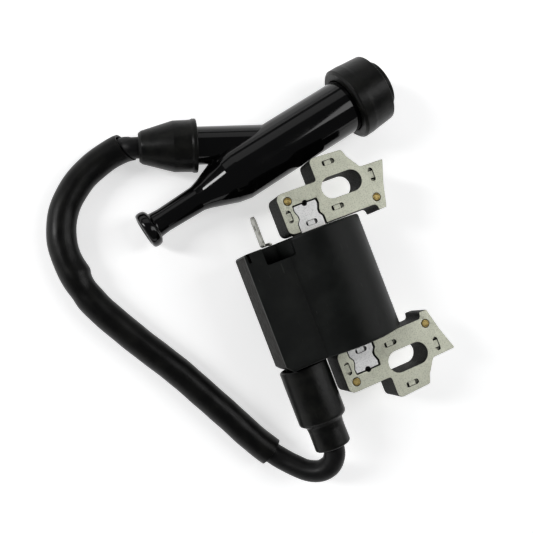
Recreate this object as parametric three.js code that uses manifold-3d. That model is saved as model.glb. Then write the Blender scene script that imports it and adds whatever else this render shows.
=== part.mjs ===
// Ignition coil of a small four-stroke engine, with its high-tension lead and plug cap.
//
// The coil lies flat: X runs along the core's legs towards the pole faces, Y along the centre bar
// towards the upper leg, Z up through the thickness of the core. Millimetres throughout.

import * as THREE from 'three';
import { mergeVertices } from 'three/addons/utils/BufferGeometryUtils.js';
import Module from 'manifold-3d';

const wasm = await Module();
wasm.setup();

// ---------------------------------------------------------------- driving dimensions

// clearances between pieces
const GAP = 0.3; // between pieces that touch
const SLIP = 0.25; // around a rivet or a jigsaw joint

// core: two legs and a centre bar, measured from the middle between the two fixing slots
const CORE_THICKNESS = 11.5;
const HOLE_SPACING = 60; // between the two fixing slots, along Y
const SLOT_RADIUS = 3.55; // passes an M6 screw with room to set the air gap
const SLOT_TRAVEL = 7; // between the slot's two end centres
const SLOT_TO_INSIDE = 10; // from the slot's middle to the leg's inner edge
const LEG_WIDTH = 13.6;
const LEG_BACK = 4.15; // steel left of the bar's socket
const LOBE = { left: -7.8, right: 4.0, rise: 7.5, lean: 0.5, foot: 3.2 }; // outside each fixing slot
const POLE_TOE = { from: 8.7, reach: 2.0 }; // how far the pole's tip stands inside the leg's edge
const POLE_OUTER_STEP = 0.5;
const FLYWHEEL_RADIUS = 87.5; // the pole faces follow the flywheel
const FLYWHEEL_AXIS_X = 97.4;
const BAR_X = -14.0; // axis of the centre bar
const BAR_WIDTH = 8.7;
const BAR_NECK_WIDTH = 6.9;
const BAR_HEAD_WIDTH = 8.3;
const BAR_HEAD_DEPTH = 8.35; // how far the jigsaw head reaches into a leg
const KEYHOLE_RADIUS = 0.9;
const RIVET_RADIUS = 1.25;
const RIVET_HEAD_RISE = 0.25;
const RIVET_AT_POLE = { x: 9.7, fromInside: 2.1 };
const RIVET_AT_BAR = { fromBack: 3.3, fromInside: 10.6 };

// windings, from the bar outwards
const PRIMARY_TUBE_WALL = 1.0;
const PRIMARY_DEPTH = 2.4;
const PRIMARY_FLANGE_RISE = 0.2; // above the wire
const PRIMARY_CORNER = 4.6;
const FLANGE_THICKNESS = 1.0;
const BOBBIN_END_ROOM = 1.2; // from a bobbin's flange to the case's end wall
const SECONDARY_TUBE_WALL = 1.0;
const SECONDARY_DEPTH = 1.15; // wire over the bobbin tube's corners
const SECONDARY_FLANGE_RISE = 0.7;
const SECONDARY_RIBS = 3;

// case
const CASE_TO_LEG = 0.6; // from each end of the case to the leg beside it
const CASE_WALL = 1.7;
const CASE_ROOM = 0.7; // epoxy between the secondary bobbin and the wall
const CASE_FLAT_WIDTH = 6; // moulded flat that the coil rests on
const BOX_RISE = 11.0; // box top and bottom above and below the coil's axis
const BOX_CORNER_RADIUS = 8;
const BOX_DEPTH = 9.45; // from the board's face to the box's outside
const BOX_END_CHAMFER = 2.2; // on the box's upright outer edge at the tower end
const WINDOW_DROP = 1.4; // the potted window runs from the box's top wall down to the rounded corner
const POTTING_RECESS = 0.5; // the epoxy's surface below the window's rim
// the recess in the box's top, beside the board
const POCKET = { outside: 3.6, inside: 4.4, length: 5.5, depth: 5.0 };
const POCKET_SKIN = 1.0; // how deep the recess goes into the round part

// igniter board, standing on edge between the windings and the box's window
const BOARD_CLEARANCE = 0.9; // from the secondary bobbin
const BOARD = { thickness: 1.4, below: 8.2, above: 7.8, fromTowerEnd: 3.7, fromSpadeEnd: 6.1 };
const BOARD_ROOM = { face: 5.2, back: 1.4, edge: 0.4 }; // kept free of epoxy
const CHIP_SIZES = {
  transistor: { y: -7.5, rise: 2.5, depth: 2.4, halfWidth: 4.6, halfHeight: 4.4 },
  control: { y: 2, rise: 2.8, depth: 1.6, halfWidth: 2.6, halfHeight: 3.6 },
  capacitor: { y: -4, rise: -5, depth: 3.4, halfWidth: 3.6, halfHeight: 2.2 },
};
const BIAS_RESISTOR = { toEnd: 3.4, rise: 5.2, halfLength: 3.2, endRadius: 1.2, radius: 1.0 };

// lead
const LEAD_RADIUS = 3.5;
const CONDUCTOR_RADIUS = 0.9;
const CONDUCTOR_ROOM = 0.5; // the bore's play round the conductor
const LEAD_CLEARANCE = 0.35; // around the lead in a boot or a tower
const SLEEVE_ROOM = 0.55; // the sleeve slides on the lead
const SLEEVE_WALL = 0.7;
const LEAD_IN_TOWER = 12; // how deep the lead goes into the tower
const LEAD_IN_CAP = 12; // where the lead stops, measured from the cap's junction

// tower and its rubber boot
const TOWER_OUTSIDE = 2.0; // the tower's axis, outside the board's face
const TOWER_WALL = 1.85;
const TOWER_LENGTH = 18.4;
const TOWER_PIN = { at: 4.5, headRadius: 1.9, radius: 0.8, length: 12, room: 2.2 };
const BOOT_WALL = 1.9;
const BOOT_BIG_LENGTH = 18.4;
const BOOT_GRIP_WALL = 2.0; // round the lead
const BOOT_LENGTH = 27.8;

// kill terminal, measured from the board's face and the coil's axis
const SPADE = { outside: 1.1, rise: 3.975, thickness: 0.8, width: 4.8, length: 9.4 };
const SPADE_HOLE = { radius: 0.8, fromTip: 3.6 };
// the spade's strip through the case's end wall
const SPADE_TAIL = { offsetX: 2.8, drop: 1.5, halfWidth: 1.2, depth: 7, room: 2.5 };

// plug cap, in its own frame: the main axis runs from the pull handle's end to the mouth
const CAP_JUNCTION_X = -8.9; // where the two tubes' axes meet, seen from above
const CAP_OVER_LOBE = 0.45; // how far the cap's shoulder reaches over the upper leg's lobe, along Y
const CAP_YAW = 12.3; // degrees, main axis against X
const BRANCH_ANGLE = 29.5; // degrees between the two tubes
const CAP_JUNCTION_AT = 56.4;
const CAP_NECK_AT = 23.5;
const CAP_SHOULDER_AT = 35.5;
const CAP_TUBE_END = 87.5;
const CAP_SHOULDER_RISE = 0.2; // the main tube narrows this much towards its mouth
const CAP_MOUTH_WALL = 2.25;
const HANDLE_RADIUS = 4.0;
const HANDLE_FLANGE_RADIUS = 6.2;
const BLOCK_FROM_JUNCTION = 6.9; // bottom of the main tube's bore, behind the junction
const BLOCK_LENGTH = 7;
const CAP_BORE_RADIUS = 4.3;
const SUPPRESSOR_RADIUS = 3.2;
const SPRING_LENGTH = 5.6;
const SOCKET_BORE_RADIUS = 7.0;
const SOCKET_BORE_DEPTH = 13;
const PLUG_SOCKET = { outside: 1.8, bore: 3.3, floor: 1.6, rise: 0.7, back: 1.5 };
// an open wire ring; half of its gap in radians
const PLUG_CLIP = { outside: 1.0, wire: 0.4, fromEnd: 4, halfMouth: 0.35 };
const CONTACT_SPRING = { radius: 2.9, wire: 0.4, turns: 3 };
const CAP_SCREW = { radius: 0.85, clear: 2.4, into: 5, tip: 1.8 };
const BRANCH_LENGTH = 41; // from the junction to the branch's mouth
const BRANCH_CLEARANCE = 0.4; // around the lead
const BRANCH_WALL = 2.35;
const SEAL_OVERLAP = 6.7; // of the seal on the main tube
const SEAL_LENGTH = 12.8;
const SEAL_WALL = 3.1;
const SEAL_TAPER = 0.8;
const SEAL_LIP_RADIUS = 8.3;
const SEAL_LIP_LENGTH = 2.1;
const SEAL_BORE_RADIUS = 6.2; // grips the plug's insulator
const CAP_BOOT_AT = 30.4; // big end, measured from the junction along the branch
const CAP_BOOT_LENGTH = 18.4;
const CAP_BOOT_WALL = 2.15;
const CAP_BOOT_GRIP_WALL = 1.25;

// the lead's free route over the floor, between the tower's boot and the cap's boot; where a point
// has no height, the lead's sleeve lies on the floor
const LEAD_ROUTE = [
  [-32.9, -50.3, 15.6],
  [-34.7, -53.1, 14.1],
  [-38.0, -54.3, 12.0],
  [-41.7, -53.1, 9.6],
  [-45.0, -50.1, 7.4],
  [-47.7, -47.0, 5.7],
  [-49.9, -44.0, 5.0],
  [-54.3, -36.5],
  [-58.9, -27.4],
  [-63.5, -18.2],
  [-68.2, -9.3],
  [-73.2, -0.6],
  [-78.3, 7.9],
  [-83.1, 16.6],
  [-87.0, 25.6],
  [-88.8, 35.0],
  [-88.3, 44.8],
  [-84.3, 53.8],
  [-77.0, 60.6],
  [-68.0, 64.9, 5.1],
  [-61.8, 66.2, 6.1],
  [-58.8, 66.1, 6.8],
];
const SLEEVE_FROM_POINT = 6; // counted along LEAD_ROUTE
const SLEEVE_TO_POINT = 21;
const FLOOR_CLEARANCE = 0.15; // under the sleeve
const ROUTE_STEP = 4.6; // length of one straight facet of the lead

// fineness of round faces
const ROUND = 24;
const FINE_ROUND = 30;
const SMALL_ROUND = 12;
const FILLET_STEPS = 3;

// ---------------------------------------------------------------- values that follow

// core
const LEG_INNER_Y = HOLE_SPACING / 2 - SLOT_TO_INSIDE;
const LEG_OUTER_Y = LEG_INNER_Y + LEG_WIDTH;
const LOBE_TOP_Y = LEG_OUTER_Y + LOBE.rise;
const POLE_INNER_Y = LEG_INNER_Y - POLE_TOE.reach;
const POLE_OUTER_Y = LEG_OUTER_Y - POLE_OUTER_STEP;
const LEG_LEFT_X = BAR_X - BAR_WIDTH / 2 - LEG_BACK;
const RIVET_POLE = [RIVET_AT_POLE.x, LEG_INNER_Y + RIVET_AT_POLE.fromInside];
const RIVET_BAR = [LEG_LEFT_X + RIVET_AT_BAR.fromBack, LEG_INNER_Y + RIVET_AT_BAR.fromInside];

// windings; each surrounds the one before it
const BOBBIN_HALF_X = BAR_WIDTH / 2 + GAP + PRIMARY_TUBE_WALL;
const BOBBIN_HALF_Z = CORE_THICKNESS / 2 + GAP + PRIMARY_TUBE_WALL;
const PRIMARY_FLANGE_OUT = PRIMARY_DEPTH + PRIMARY_FLANGE_RISE; // outside the bobbin's tube
const SECONDARY_TUBE_OUT = PRIMARY_FLANGE_OUT + GAP + SECONDARY_TUBE_WALL;
const SECONDARY_CORNER = PRIMARY_CORNER + SECONDARY_TUBE_WALL;
const SECONDARY_TUBE_REACH = SECONDARY_CORNER + Math.hypot(
  BOBBIN_HALF_X + SECONDARY_TUBE_OUT - SECONDARY_CORNER,
  BOBBIN_HALF_Z + SECONDARY_TUBE_OUT - SECONDARY_CORNER,
);
const SECONDARY_RADIUS = SECONDARY_TUBE_REACH + SECONDARY_DEPTH;
const SECONDARY_FLANGE_RADIUS = SECONDARY_RADIUS + SECONDARY_FLANGE_RISE;

// case
const CASE_RADIUS = SECONDARY_FLANGE_RADIUS + CASE_ROOM + CASE_WALL; // the round part over the windings
const CASE_HALF_LENGTH = LEG_INNER_Y - CASE_TO_LEG;
const CAVITY_HALF_LENGTH = CASE_HALF_LENGTH - CASE_WALL;
const BOBBIN_HALF_LENGTH = CAVITY_HALF_LENGTH - BOBBIN_END_ROOM;
const WINDING_SPAN = BOBBIN_HALF_LENGTH - FLANGE_THICKNESS; // half of the room between the flanges
const AXIS_Z = Math.sqrt(CASE_RADIUS ** 2 - (CASE_FLAT_WIDTH / 2) ** 2); // height of the coil's axis
const CORE_BOTTOM_Z = AXIS_Z - CORE_THICKNESS / 2;
const CORE_TOP_Z = AXIS_Z + CORE_THICKNESS / 2;
const BOARD_BACK_X = BAR_X - SECONDARY_FLANGE_RADIUS - BOARD_CLEARANCE;
const BOARD_FACE_X = BOARD_BACK_X - BOARD.thickness; // side that carries the board's parts
const BOX_LEFT_X = BOARD_FACE_X - BOX_DEPTH;
const BOX_TOP_Z = AXIS_Z + BOX_RISE;
const BOX_BOTTOM_Z = AXIS_Z - BOX_RISE;

// tower, lead and spade
const LEAD_BORE_RADIUS = CONDUCTOR_RADIUS + CONDUCTOR_ROOM;
const LEAD_GRIP_RADIUS = LEAD_RADIUS + LEAD_CLEARANCE;
const SLEEVE_BORE_RADIUS = LEAD_RADIUS + SLEEVE_ROOM;
const SLEEVE_RADIUS = SLEEVE_BORE_RADIUS + SLEEVE_WALL;
const FLOOR_RUN_Z = SLEEVE_RADIUS + FLOOR_CLEARANCE; // middle of the lead where its sleeve lies on the floor
const TOWER_X = BOARD_FACE_X - TOWER_OUTSIDE;
const TOWER_RADIUS = LEAD_GRIP_RADIUS + TOWER_WALL;
const BOOT_BIG_RADIUS = TOWER_RADIUS + GAP + BOOT_WALL;
const BOOT_SMALL_RADIUS = LEAD_GRIP_RADIUS + BOOT_GRIP_WALL;
const BOOT_END_Y = -(CASE_HALF_LENGTH + GAP + BOOT_LENGTH);
const SPADE_X = BOARD_FACE_X - SPADE.outside;
const SPADE_Z = AXIS_Z + SPADE.rise;

// plug cap
const CAP_TUBE_RADIUS = SOCKET_BORE_RADIUS + CAP_MOUTH_WALL;
const CAP_SHOULDER_RADIUS = CAP_TUBE_RADIUS + CAP_SHOULDER_RISE;
const CAP_BORE_AT = CAP_JUNCTION_AT - BLOCK_FROM_JUNCTION;
const SOCKET_BORE_AT = CAP_TUBE_END - SOCKET_BORE_DEPTH;
const SEAL_AT = CAP_TUBE_END - SEAL_OVERLAP;
const SEAL_BACK_RADIUS = CAP_TUBE_RADIUS + GAP + SEAL_WALL;
const SEAL_FRONT_RADIUS = SEAL_BACK_RADIUS - SEAL_TAPER;
const BRANCH_BORE_RADIUS = LEAD_RADIUS + BRANCH_CLEARANCE;
const BRANCH_RADIUS = BRANCH_BORE_RADIUS + BRANCH_WALL;
const CAP_BOOT_BIG_RADIUS = BRANCH_RADIUS + GAP + CAP_BOOT_WALL;
const CAP_BOOT_SMALL_RADIUS = LEAD_GRIP_RADIUS + CAP_BOOT_GRIP_WALL;

// ---------------------------------------------------------------- materials

const finish = (color, roughness, metalness) =>
  new THREE.MeshStandardMaterial({ color, roughness, metalness });
const CORE_STEEL = finish(0xb9bcae, 0.5, 0.8);
const BAR_STEEL = finish(0xd9dad6, 0.45, 0.8);
const BRASS = finish(0xb89a4a, 0.4, 0.9);
const CASE_PLASTIC = finish(0x232524, 0.7, 0);
const EPOXY = finish(0x2f302c, 0.6, 0);
const BOBBIN_PLASTIC = finish(0xd8d2c0, 0.6, 0);
const COPPER = finish(0xb3602f, 0.35, 0.8);
const BOARD_LACQUER = finish(0x2f5a3a, 0.6, 0);
const CHIP = finish(0x1c1c1e, 0.5, 0);
const CERAMIC = finish(0xc9b79a, 0.7, 0);
const PLATED_STEEL = finish(0xc4c4be, 0.35, 0.9);
const RUBBER = finish(0x161717, 0.75, 0);
const LEAD_PVC = finish(0x1a1a1b, 0.6, 0);
const SLEEVE_PVC = finish(0x151515, 0.55, 0);
const CAP_PHENOLIC = finish(0x060606, 0.15, 0);

// ---------------------------------------------------------------- solids

/** True when a closed mesh's triangles face outwards: its signed volume is positive. */
function facesOutwards(positions, corners) {
  const [a, b, c] = [new THREE.Vector3(), new THREE.Vector3(), new THREE.Vector3()];
  let volume = 0;
  for (let i = 0; i < corners.length; i += 3) {
    a.fromArray(positions, corners[i] * 3);
    b.fromArray(positions, corners[i + 1] * 3);
    c.fromArray(positions, corners[i + 2] * 3);
    volume += a.dot(b.cross(c));
  }
  return volume > 0;
}

/** The solid inside a closed three.js geometry. */
function solidOf(geometry) {
  const bare = geometry.clone();
  bare.deleteAttribute('normal');
  bare.deleteAttribute('uv');
  const merged = mergeVertices(bare, 1e-4);
  const positions = Array.from(merged.attributes.position.array);
  const corners = [];
  for (let i = 0; i < merged.index.count; i += 3) {
    const [a, b, c] = [0, 1, 2].map((k) => merged.index.getX(i + k));
    if (a !== b && b !== c && c !== a) corners.push(a, b, c);
  }
  if (!facesOutwards(positions, corners)) corners.reverse();
  const mesh = new wasm.Mesh({
    numProp: 3,
    vertProperties: Float32Array.from(positions),
    triVerts: Uint32Array.from(corners),
  });
  return new wasm.Manifold(mesh);
}

/** The geometry of a solid. */
function geometryOf(solid) {
  const mesh = solid.getMesh();
  const geometry = new THREE.BufferGeometry();
  geometry.setAttribute('position', new THREE.BufferAttribute(Float32Array.from(mesh.vertProperties), 3));
  geometry.setIndex(Array.from(mesh.triVerts));
  geometry.computeVertexNormals();
  return geometry;
}

const cut = (body, ...tools) => tools.reduce((solid, tool) => solid.subtract(tool), body);
const join = (body, ...others) => others.reduce((solid, other) => solid.add(other), body);

/** A closed outline through [x, y, radius] corners, each rounded by its own radius. */
function roundedOutline(corners) {
  const shape = new THREE.Shape();
  corners.forEach(([x, y, radius = 0], i) => {
    const here = new THREE.Vector2(x, y);
    const [beforeX, beforeY] = corners.at(i - 1);
    const [afterX, afterY] = corners[(i + 1) % corners.length];
    const toBefore = new THREE.Vector2(beforeX, beforeY).sub(here).normalize();
    const toAfter = new THREE.Vector2(afterX, afterY).sub(here).normalize();
    const halfAngle = Math.acos(THREE.MathUtils.clamp(toBefore.dot(toAfter), -1, 1)) / 2;
    const setback = radius / Math.tan(halfAngle);
    const start = here.clone().addScaledVector(toBefore, setback);
    const end = here.clone().addScaledVector(toAfter, setback);
    if (i === 0) shape.moveTo(start.x, start.y);
    else shape.lineTo(start.x, start.y);
    if (radius > 0) shape.quadraticCurveTo(x, y, end.x, end.y);
  });
  shape.closePath();
  return shape;
}

/** A rounded rectangle centred on (x, y). */
function roundedRectangle(x, y, halfWidth, halfHeight, radius) {
  return roundedOutline([
    [x - halfWidth, y - halfHeight, radius],
    [x + halfWidth, y - halfHeight, radius],
    [x + halfWidth, y + halfHeight, radius],
    [x - halfWidth, y + halfHeight, radius],
  ]);
}

/** A slot lying along X, with round ends. */
function stadium(x, y, halfTravel, radius) {
  const shape = new THREE.Shape();
  shape.absarc(x + halfTravel, y, radius, -Math.PI / 2, Math.PI / 2);
  shape.absarc(x - halfTravel, y, radius, Math.PI / 2, (3 * Math.PI) / 2);
  shape.closePath();
  return shape;
}

/** A prism of an XY outline between two heights. */
function prismUp(shape, z0, z1, curveSegments = FILLET_STEPS) {
  const geometry = new THREE.ExtrudeGeometry(shape, { depth: z1 - z0, bevelEnabled: false, curveSegments });
  return solidOf(geometry.translate(0, 0, z0));
}

/** A prism of an XZ outline between two places along Y. */
function prismAlongY(shape, y0, y1, curveSegments = FILLET_STEPS) {
  const geometry = new THREE.ExtrudeGeometry(shape, { depth: y1 - y0, bevelEnabled: false, curveSegments });
  return solidOf(geometry.rotateX(Math.PI / 2).translate(0, y1, 0));
}

/** A box between two corners. */
function block([x0, y0, z0], [x1, y1, z1]) {
  const geometry = new THREE.BoxGeometry(x1 - x0, y1 - y0, z1 - z0);
  return solidOf(geometry.translate((x0 + x1) / 2, (y0 + y1) / 2, (z0 + z1) / 2));
}

/** A turned solid about +Y through a profile of [radius, along] points. */
function turned(profile, segments = ROUND) {
  const points = profile.map(([radius, along]) => new THREE.Vector2(radius, along));
  return new THREE.LatheGeometry(points, segments);
}

/** A turned solid about a line along Y, measured from y towards the given side (+1 or -1). */
function turnedAlongY(profile, x, y, z, side, segments = ROUND) {
  const geometry = turned(profile, segments);
  if (side < 0) geometry.rotateX(Math.PI);
  return solidOf(geometry.translate(x, y, z));
}

/** A turned solid about +X. */
const turnedAlongX = (profile, segments = ROUND) => solidOf(turned(profile, segments).rotateZ(-Math.PI / 2));

/** A plain rod's profile. */
const rod = (radius, from, to) => [[0, from], [radius, from], [radius, to], [0, to]];

/** Adds one named piece to a group. */
function addPiece(group, name, solid, material) {
  const mesh = new THREE.Mesh(geometryOf(solid), material);
  mesh.name = name;
  group.add(mesh);
  return mesh;
}

// ---------------------------------------------------------------- core

const poleFaceX = (y) => FLYWHEEL_AXIS_X - Math.sqrt(FLYWHEEL_RADIUS ** 2 - y ** 2);

/** Outline of the centre bar with a jigsaw head at both ends, grown by a clearance. */
function barOutline(grow) {
  const neckAt = LEG_INNER_Y + BAR_HEAD_DEPTH * 0.54;
  const headAt = LEG_INNER_Y + BAR_HEAD_DEPTH * 0.82;
  const topAt = LEG_INNER_Y + BAR_HEAD_DEPTH + grow;
  const half = BAR_WIDTH / 2 + grow;
  const neck = BAR_NECK_WIDTH / 2 + grow;
  const head = BAR_HEAD_WIDTH / 2 + grow;
  const quarter = [
    [half, neckAt - 1.9, 0.7],
    [neck, neckAt - 0.6, 0.6],
    [neck, neckAt + 0.5, 0.5],
    [head, headAt, 0.6],
    [head - 0.15, topAt, 0.4],
  ];
  const side = (sx, sy) => quarter.map(([x, y, radius]) => [BAR_X + sx * x, sy * y, radius]);
  return roundedOutline([
    ...side(1, 1),
    ...side(-1, 1).reverse(),
    ...side(-1, -1),
    ...side(1, -1).reverse(),
  ]);
}

/** Outline of one leg; side is +1 for the upper leg and -1 for the lower one. */
function legOutline(side) {
  const faceMiddleY = (POLE_INNER_Y + POLE_OUTER_Y) / 2;
  const corners = [
    [LEG_LEFT_X, LEG_INNER_Y, 2.4],
    [POLE_TOE.from, LEG_INNER_Y, 1.4],
    [POLE_TOE.from + 0.3, POLE_INNER_Y - 0.1, 0.5],
    [poleFaceX(POLE_INNER_Y), POLE_INNER_Y, 0.4],
    [poleFaceX(faceMiddleY), faceMiddleY],
    [poleFaceX(POLE_OUTER_Y), POLE_OUTER_Y, 0.3],
    [LOBE.right + 4.1, LEG_OUTER_Y - 0.3, 1.2],
    [LOBE.right + 0.9, LOBE_TOP_Y - LOBE.foot, 1.0],
    [LOBE.right, LOBE_TOP_Y - LOBE.lean, 1.2],
    [LOBE.left, LOBE_TOP_Y, 2.0],
    [LOBE.left, LEG_OUTER_Y, 1.0],
    [LEG_LEFT_X, LEG_OUTER_Y, 2.4],
  ];
  return roundedOutline(corners.map(([x, y, radius]) => [x, side * y, radius]));
}

/** A hole through the core. */
function coreHole(x, y, radius, segments = SMALL_ROUND) {
  const geometry = new THREE.CylinderGeometry(radius, radius, CORE_THICKNESS + 2, segments);
  return solidOf(geometry.rotateX(Math.PI / 2).translate(x, y, AXIS_Z));
}

/** One riveted stack: outline, fixing slot, rivet holes and the socket for the bar's head. */
function coreLeg(side) {
  const slotY = (side * HOLE_SPACING) / 2;
  const slot = stadium(0, slotY, SLOT_TRAVEL / 2, SLOT_RADIUS);
  return cut(
    prismUp(legOutline(side), CORE_BOTTOM_Z, CORE_TOP_Z),
    prismUp(barOutline(SLIP), CORE_BOTTOM_Z - 1, CORE_TOP_Z + 1),
    prismUp(slot, CORE_BOTTOM_Z - 1, CORE_TOP_Z + 1, 8),
    coreHole(BAR_X, side * (LEG_INNER_Y + BAR_HEAD_DEPTH), KEYHOLE_RADIUS),
    coreHole(RIVET_POLE[0], side * RIVET_POLE[1], RIVET_RADIUS + SLIP),
    coreHole(RIVET_BAR[0], side * RIVET_BAR[1], RIVET_RADIUS + SLIP),
  );
}

/** The centre bar, with half of each keyhole. */
function coreBar() {
  const keyholeY = LEG_INNER_Y + BAR_HEAD_DEPTH;
  return cut(
    prismUp(barOutline(0), CORE_BOTTOM_Z, CORE_TOP_Z),
    coreHole(BAR_X, keyholeY, KEYHOLE_RADIUS),
    coreHole(BAR_X, -keyholeY, KEYHOLE_RADIUS),
  );
}

/** A rivet: shank with a low domed head at each face. */
function rivet(x, y) {
  const bottom = CORE_BOTTOM_Z - RIVET_HEAD_RISE;
  const top = CORE_TOP_Z + RIVET_HEAD_RISE;
  const domed = [
    [0, bottom],
    [RIVET_RADIUS * 0.7, bottom],
    [RIVET_RADIUS, bottom + RIVET_HEAD_RISE],
    [RIVET_RADIUS, top - RIVET_HEAD_RISE],
    [RIVET_RADIUS * 0.7, top],
    [0, top],
  ];
  return solidOf(turned(domed, SMALL_ROUND).rotateX(Math.PI / 2).translate(x, y, 0));
}

function addCore(group) {
  addPiece(group, 'core_leg_upper', coreLeg(1), CORE_STEEL);
  addPiece(group, 'core_leg_lower', coreLeg(-1), CORE_STEEL);
  addPiece(group, 'core_bar', coreBar(), BAR_STEEL);
  for (const [row, side] of [['upper', 1], ['lower', -1]]) {
    addPiece(group, `rivet_${row}_pole`, rivet(RIVET_POLE[0], side * RIVET_POLE[1]), BRASS);
    addPiece(group, `rivet_${row}_bar`, rivet(RIVET_BAR[0], side * RIVET_BAR[1]), BRASS);
  }
}

// ---------------------------------------------------------------- case

/** XZ outline of the round part, shrunk by an inset, with the flat that it rests on. */
function drumOutline(inset) {
  const radius = CASE_RADIUS - inset;
  const flatAngle = Math.asin(CASE_FLAT_WIDTH / 2 / CASE_RADIUS);
  const shape = new THREE.Shape();
  shape.absarc(BAR_X, AXIS_Z, radius, -Math.PI / 2 + flatAngle, (3 * Math.PI) / 2 - flatAngle);
  shape.closePath();
  return shape;
}

/** XZ outline of the box beside it, shrunk by an inset; its lower outer corner is well rounded. */
function boxOutline(inset, leftX = BOX_LEFT_X + inset) {
  return roundedOutline([
    [leftX, BOX_BOTTOM_Z + inset, BOX_CORNER_RADIUS - inset],
    [BAR_X, BOX_BOTTOM_Z + inset],
    [BAR_X, BOX_TOP_Z - inset],
    [leftX, BOX_TOP_Z - inset, 0.6],
  ]);
}

/** The case's outer form, or the same form shrunk by an inset on every side. */
function caseForm(inset, halfLength) {
  return join(
    prismAlongY(drumOutline(inset), -halfLength, halfLength, FINE_ROUND),
    prismAlongY(boxOutline(inset), -halfLength, halfLength),
  );
}

/** The recess in the box's top, grown by a wall; it only skims the round part. */
function pocket(wall) {
  const drum = drumOutline(wall > 0 ? CASE_WALL : POCKET_SKIN);
  const back = CASE_HALF_LENGTH - POCKET.length - wall;
  return cut(
    block(
      [BOARD_FACE_X - POCKET.outside - wall, back, BOX_TOP_Z - POCKET.depth - wall],
      [BOARD_BACK_X + POCKET.inside + wall, CASE_HALF_LENGTH + 1, AXIS_Z + CASE_RADIUS + 1],
    ),
    prismAlongY(drum, back - 1, CASE_HALF_LENGTH + 2, FINE_ROUND),
  );
}

/** The window in the box's outer side that the potting closes, shrunk by an inset. */
function windowCut(inset) {
  return block(
    [BOX_LEFT_X - 1, -CAVITY_HALF_LENGTH + BOX_END_CHAMFER + inset, BOX_BOTTOM_Z + BOX_CORNER_RADIUS + inset],
    [BOX_LEFT_X + CASE_WALL + 1, CAVITY_HALF_LENGTH - inset, BOX_TOP_Z - WINDOW_DROP - inset],
  );
}

/** The opening that the primary bobbin passes through, both ends. */
function bobbinPassage() {
  const outline = roundedRectangle(BAR_X, AXIS_Z, BOBBIN_HALF_X + GAP, BOBBIN_HALF_Z + GAP, 1);
  return prismAlongY(outline, -CASE_HALF_LENGTH - 1, CASE_HALF_LENGTH + 1);
}

/** The slot in the end wall that the kill terminal's tail passes through. */
function terminalSlot() {
  const x = SPADE_X + SPADE_TAIL.offsetX;
  const z = SPADE_Z - SPADE_TAIL.drop;
  const halfThickness = SPADE.thickness / 2 + GAP;
  const halfWidth = SPADE_TAIL.halfWidth + GAP;
  return block(
    [x - halfThickness, CAVITY_HALF_LENGTH - 1, z - halfWidth],
    [x + halfThickness, CASE_HALF_LENGTH + 1, z + halfWidth],
  );
}

function coilCase() {
  const towerRoot = -CASE_HALF_LENGTH + 1;
  const onTower = (profile, segments) => turnedAlongY(profile, TOWER_X, towerRoot, AXIS_Z, -1, segments);
  const tower = onTower(rod(TOWER_RADIUS, 0, TOWER_LENGTH + 1));
  const towerBore = onTower(rod(LEAD_GRIP_RADIUS, -2, TOWER_LENGTH + 4), SMALL_ROUND);
  const cavity = cut(caseForm(CASE_WALL, CAVITY_HALF_LENGTH), pocket(CASE_WALL));
  const endY = -CASE_HALF_LENGTH;
  const chamfer = new THREE.Shape([
    new THREE.Vector2(BOX_LEFT_X - 1, endY - 1),
    new THREE.Vector2(BOX_LEFT_X + BOX_END_CHAMFER + 1, endY - 1),
    new THREE.Vector2(BOX_LEFT_X - 1, endY + BOX_END_CHAMFER + 1),
  ]);
  const body = cut(caseForm(0, CASE_HALF_LENGTH), prismUp(chamfer, BOX_BOTTOM_Z - 1, BOX_TOP_Z + 1));
  return cut(
    join(body, tower),
    cavity,
    windowCut(0),
    pocket(0),
    bobbinPassage(),
    terminalSlot(),
    towerBore,
  );
}

/** Epoxy in the box, hollowed where the windings, the board and its parts sit. */
function pottingFill() {
  const { face, back, edge } = BOARD_ROOM;
  const [boardFrom, boardTo] = boardEnds();
  const end = CASE_HALF_LENGTH;
  const top = 2 * AXIS_Z;
  const outside = block([BOX_LEFT_X - 5, -end, 0], [BOX_LEFT_X + POTTING_RECESS, end, top]);
  const body = join(caseForm(CASE_WALL + GAP, CAVITY_HALF_LENGTH - GAP), cut(windowCut(GAP), outside));
  const windings = turnedAlongY(rod(SECONDARY_FLANGE_RADIUS + GAP, -end, end), BAR_X, 0, AXIS_Z, 1);
  const electronics = block(
    [BOARD_FACE_X - face, boardFrom - edge, AXIS_Z - BOARD.below - edge],
    [BOARD_BACK_X + back, boardTo + edge, AXIS_Z + BOARD.above + edge],
  );
  const tailRoom = block(
    [SPADE_X, boardTo, SPADE_Z - SPADE_TAIL.drop - SPADE_TAIL.room],
    [SPADE_X + SPADE_TAIL.offsetX + SPADE_TAIL.room, end, SPADE_Z],
  );
  const drumSide = block([BOARD_BACK_X + back + 0.6, -end, 0], [CASE_RADIUS, end, top]);
  const pinRod = rod(TOWER_PIN.room, 0, TOWER_PIN.length);
  const pinRoom = turnedAlongY(pinRod, TOWER_X, -end, AXIS_Z, 1, SMALL_ROUND);
  return cut(body, windings, electronics, tailRoom, drumSide, pinRoom, pocket(CASE_WALL + GAP));
}

// ---------------------------------------------------------------- windings

/** XZ outline of a rounded rectangle round the bar, at a distance outside the bobbin tube. */
function ringOutline(outside, corner) {
  return roundedRectangle(BAR_X, AXIS_Z, BOBBIN_HALF_X + outside, BOBBIN_HALF_Z + outside, corner);
}

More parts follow.
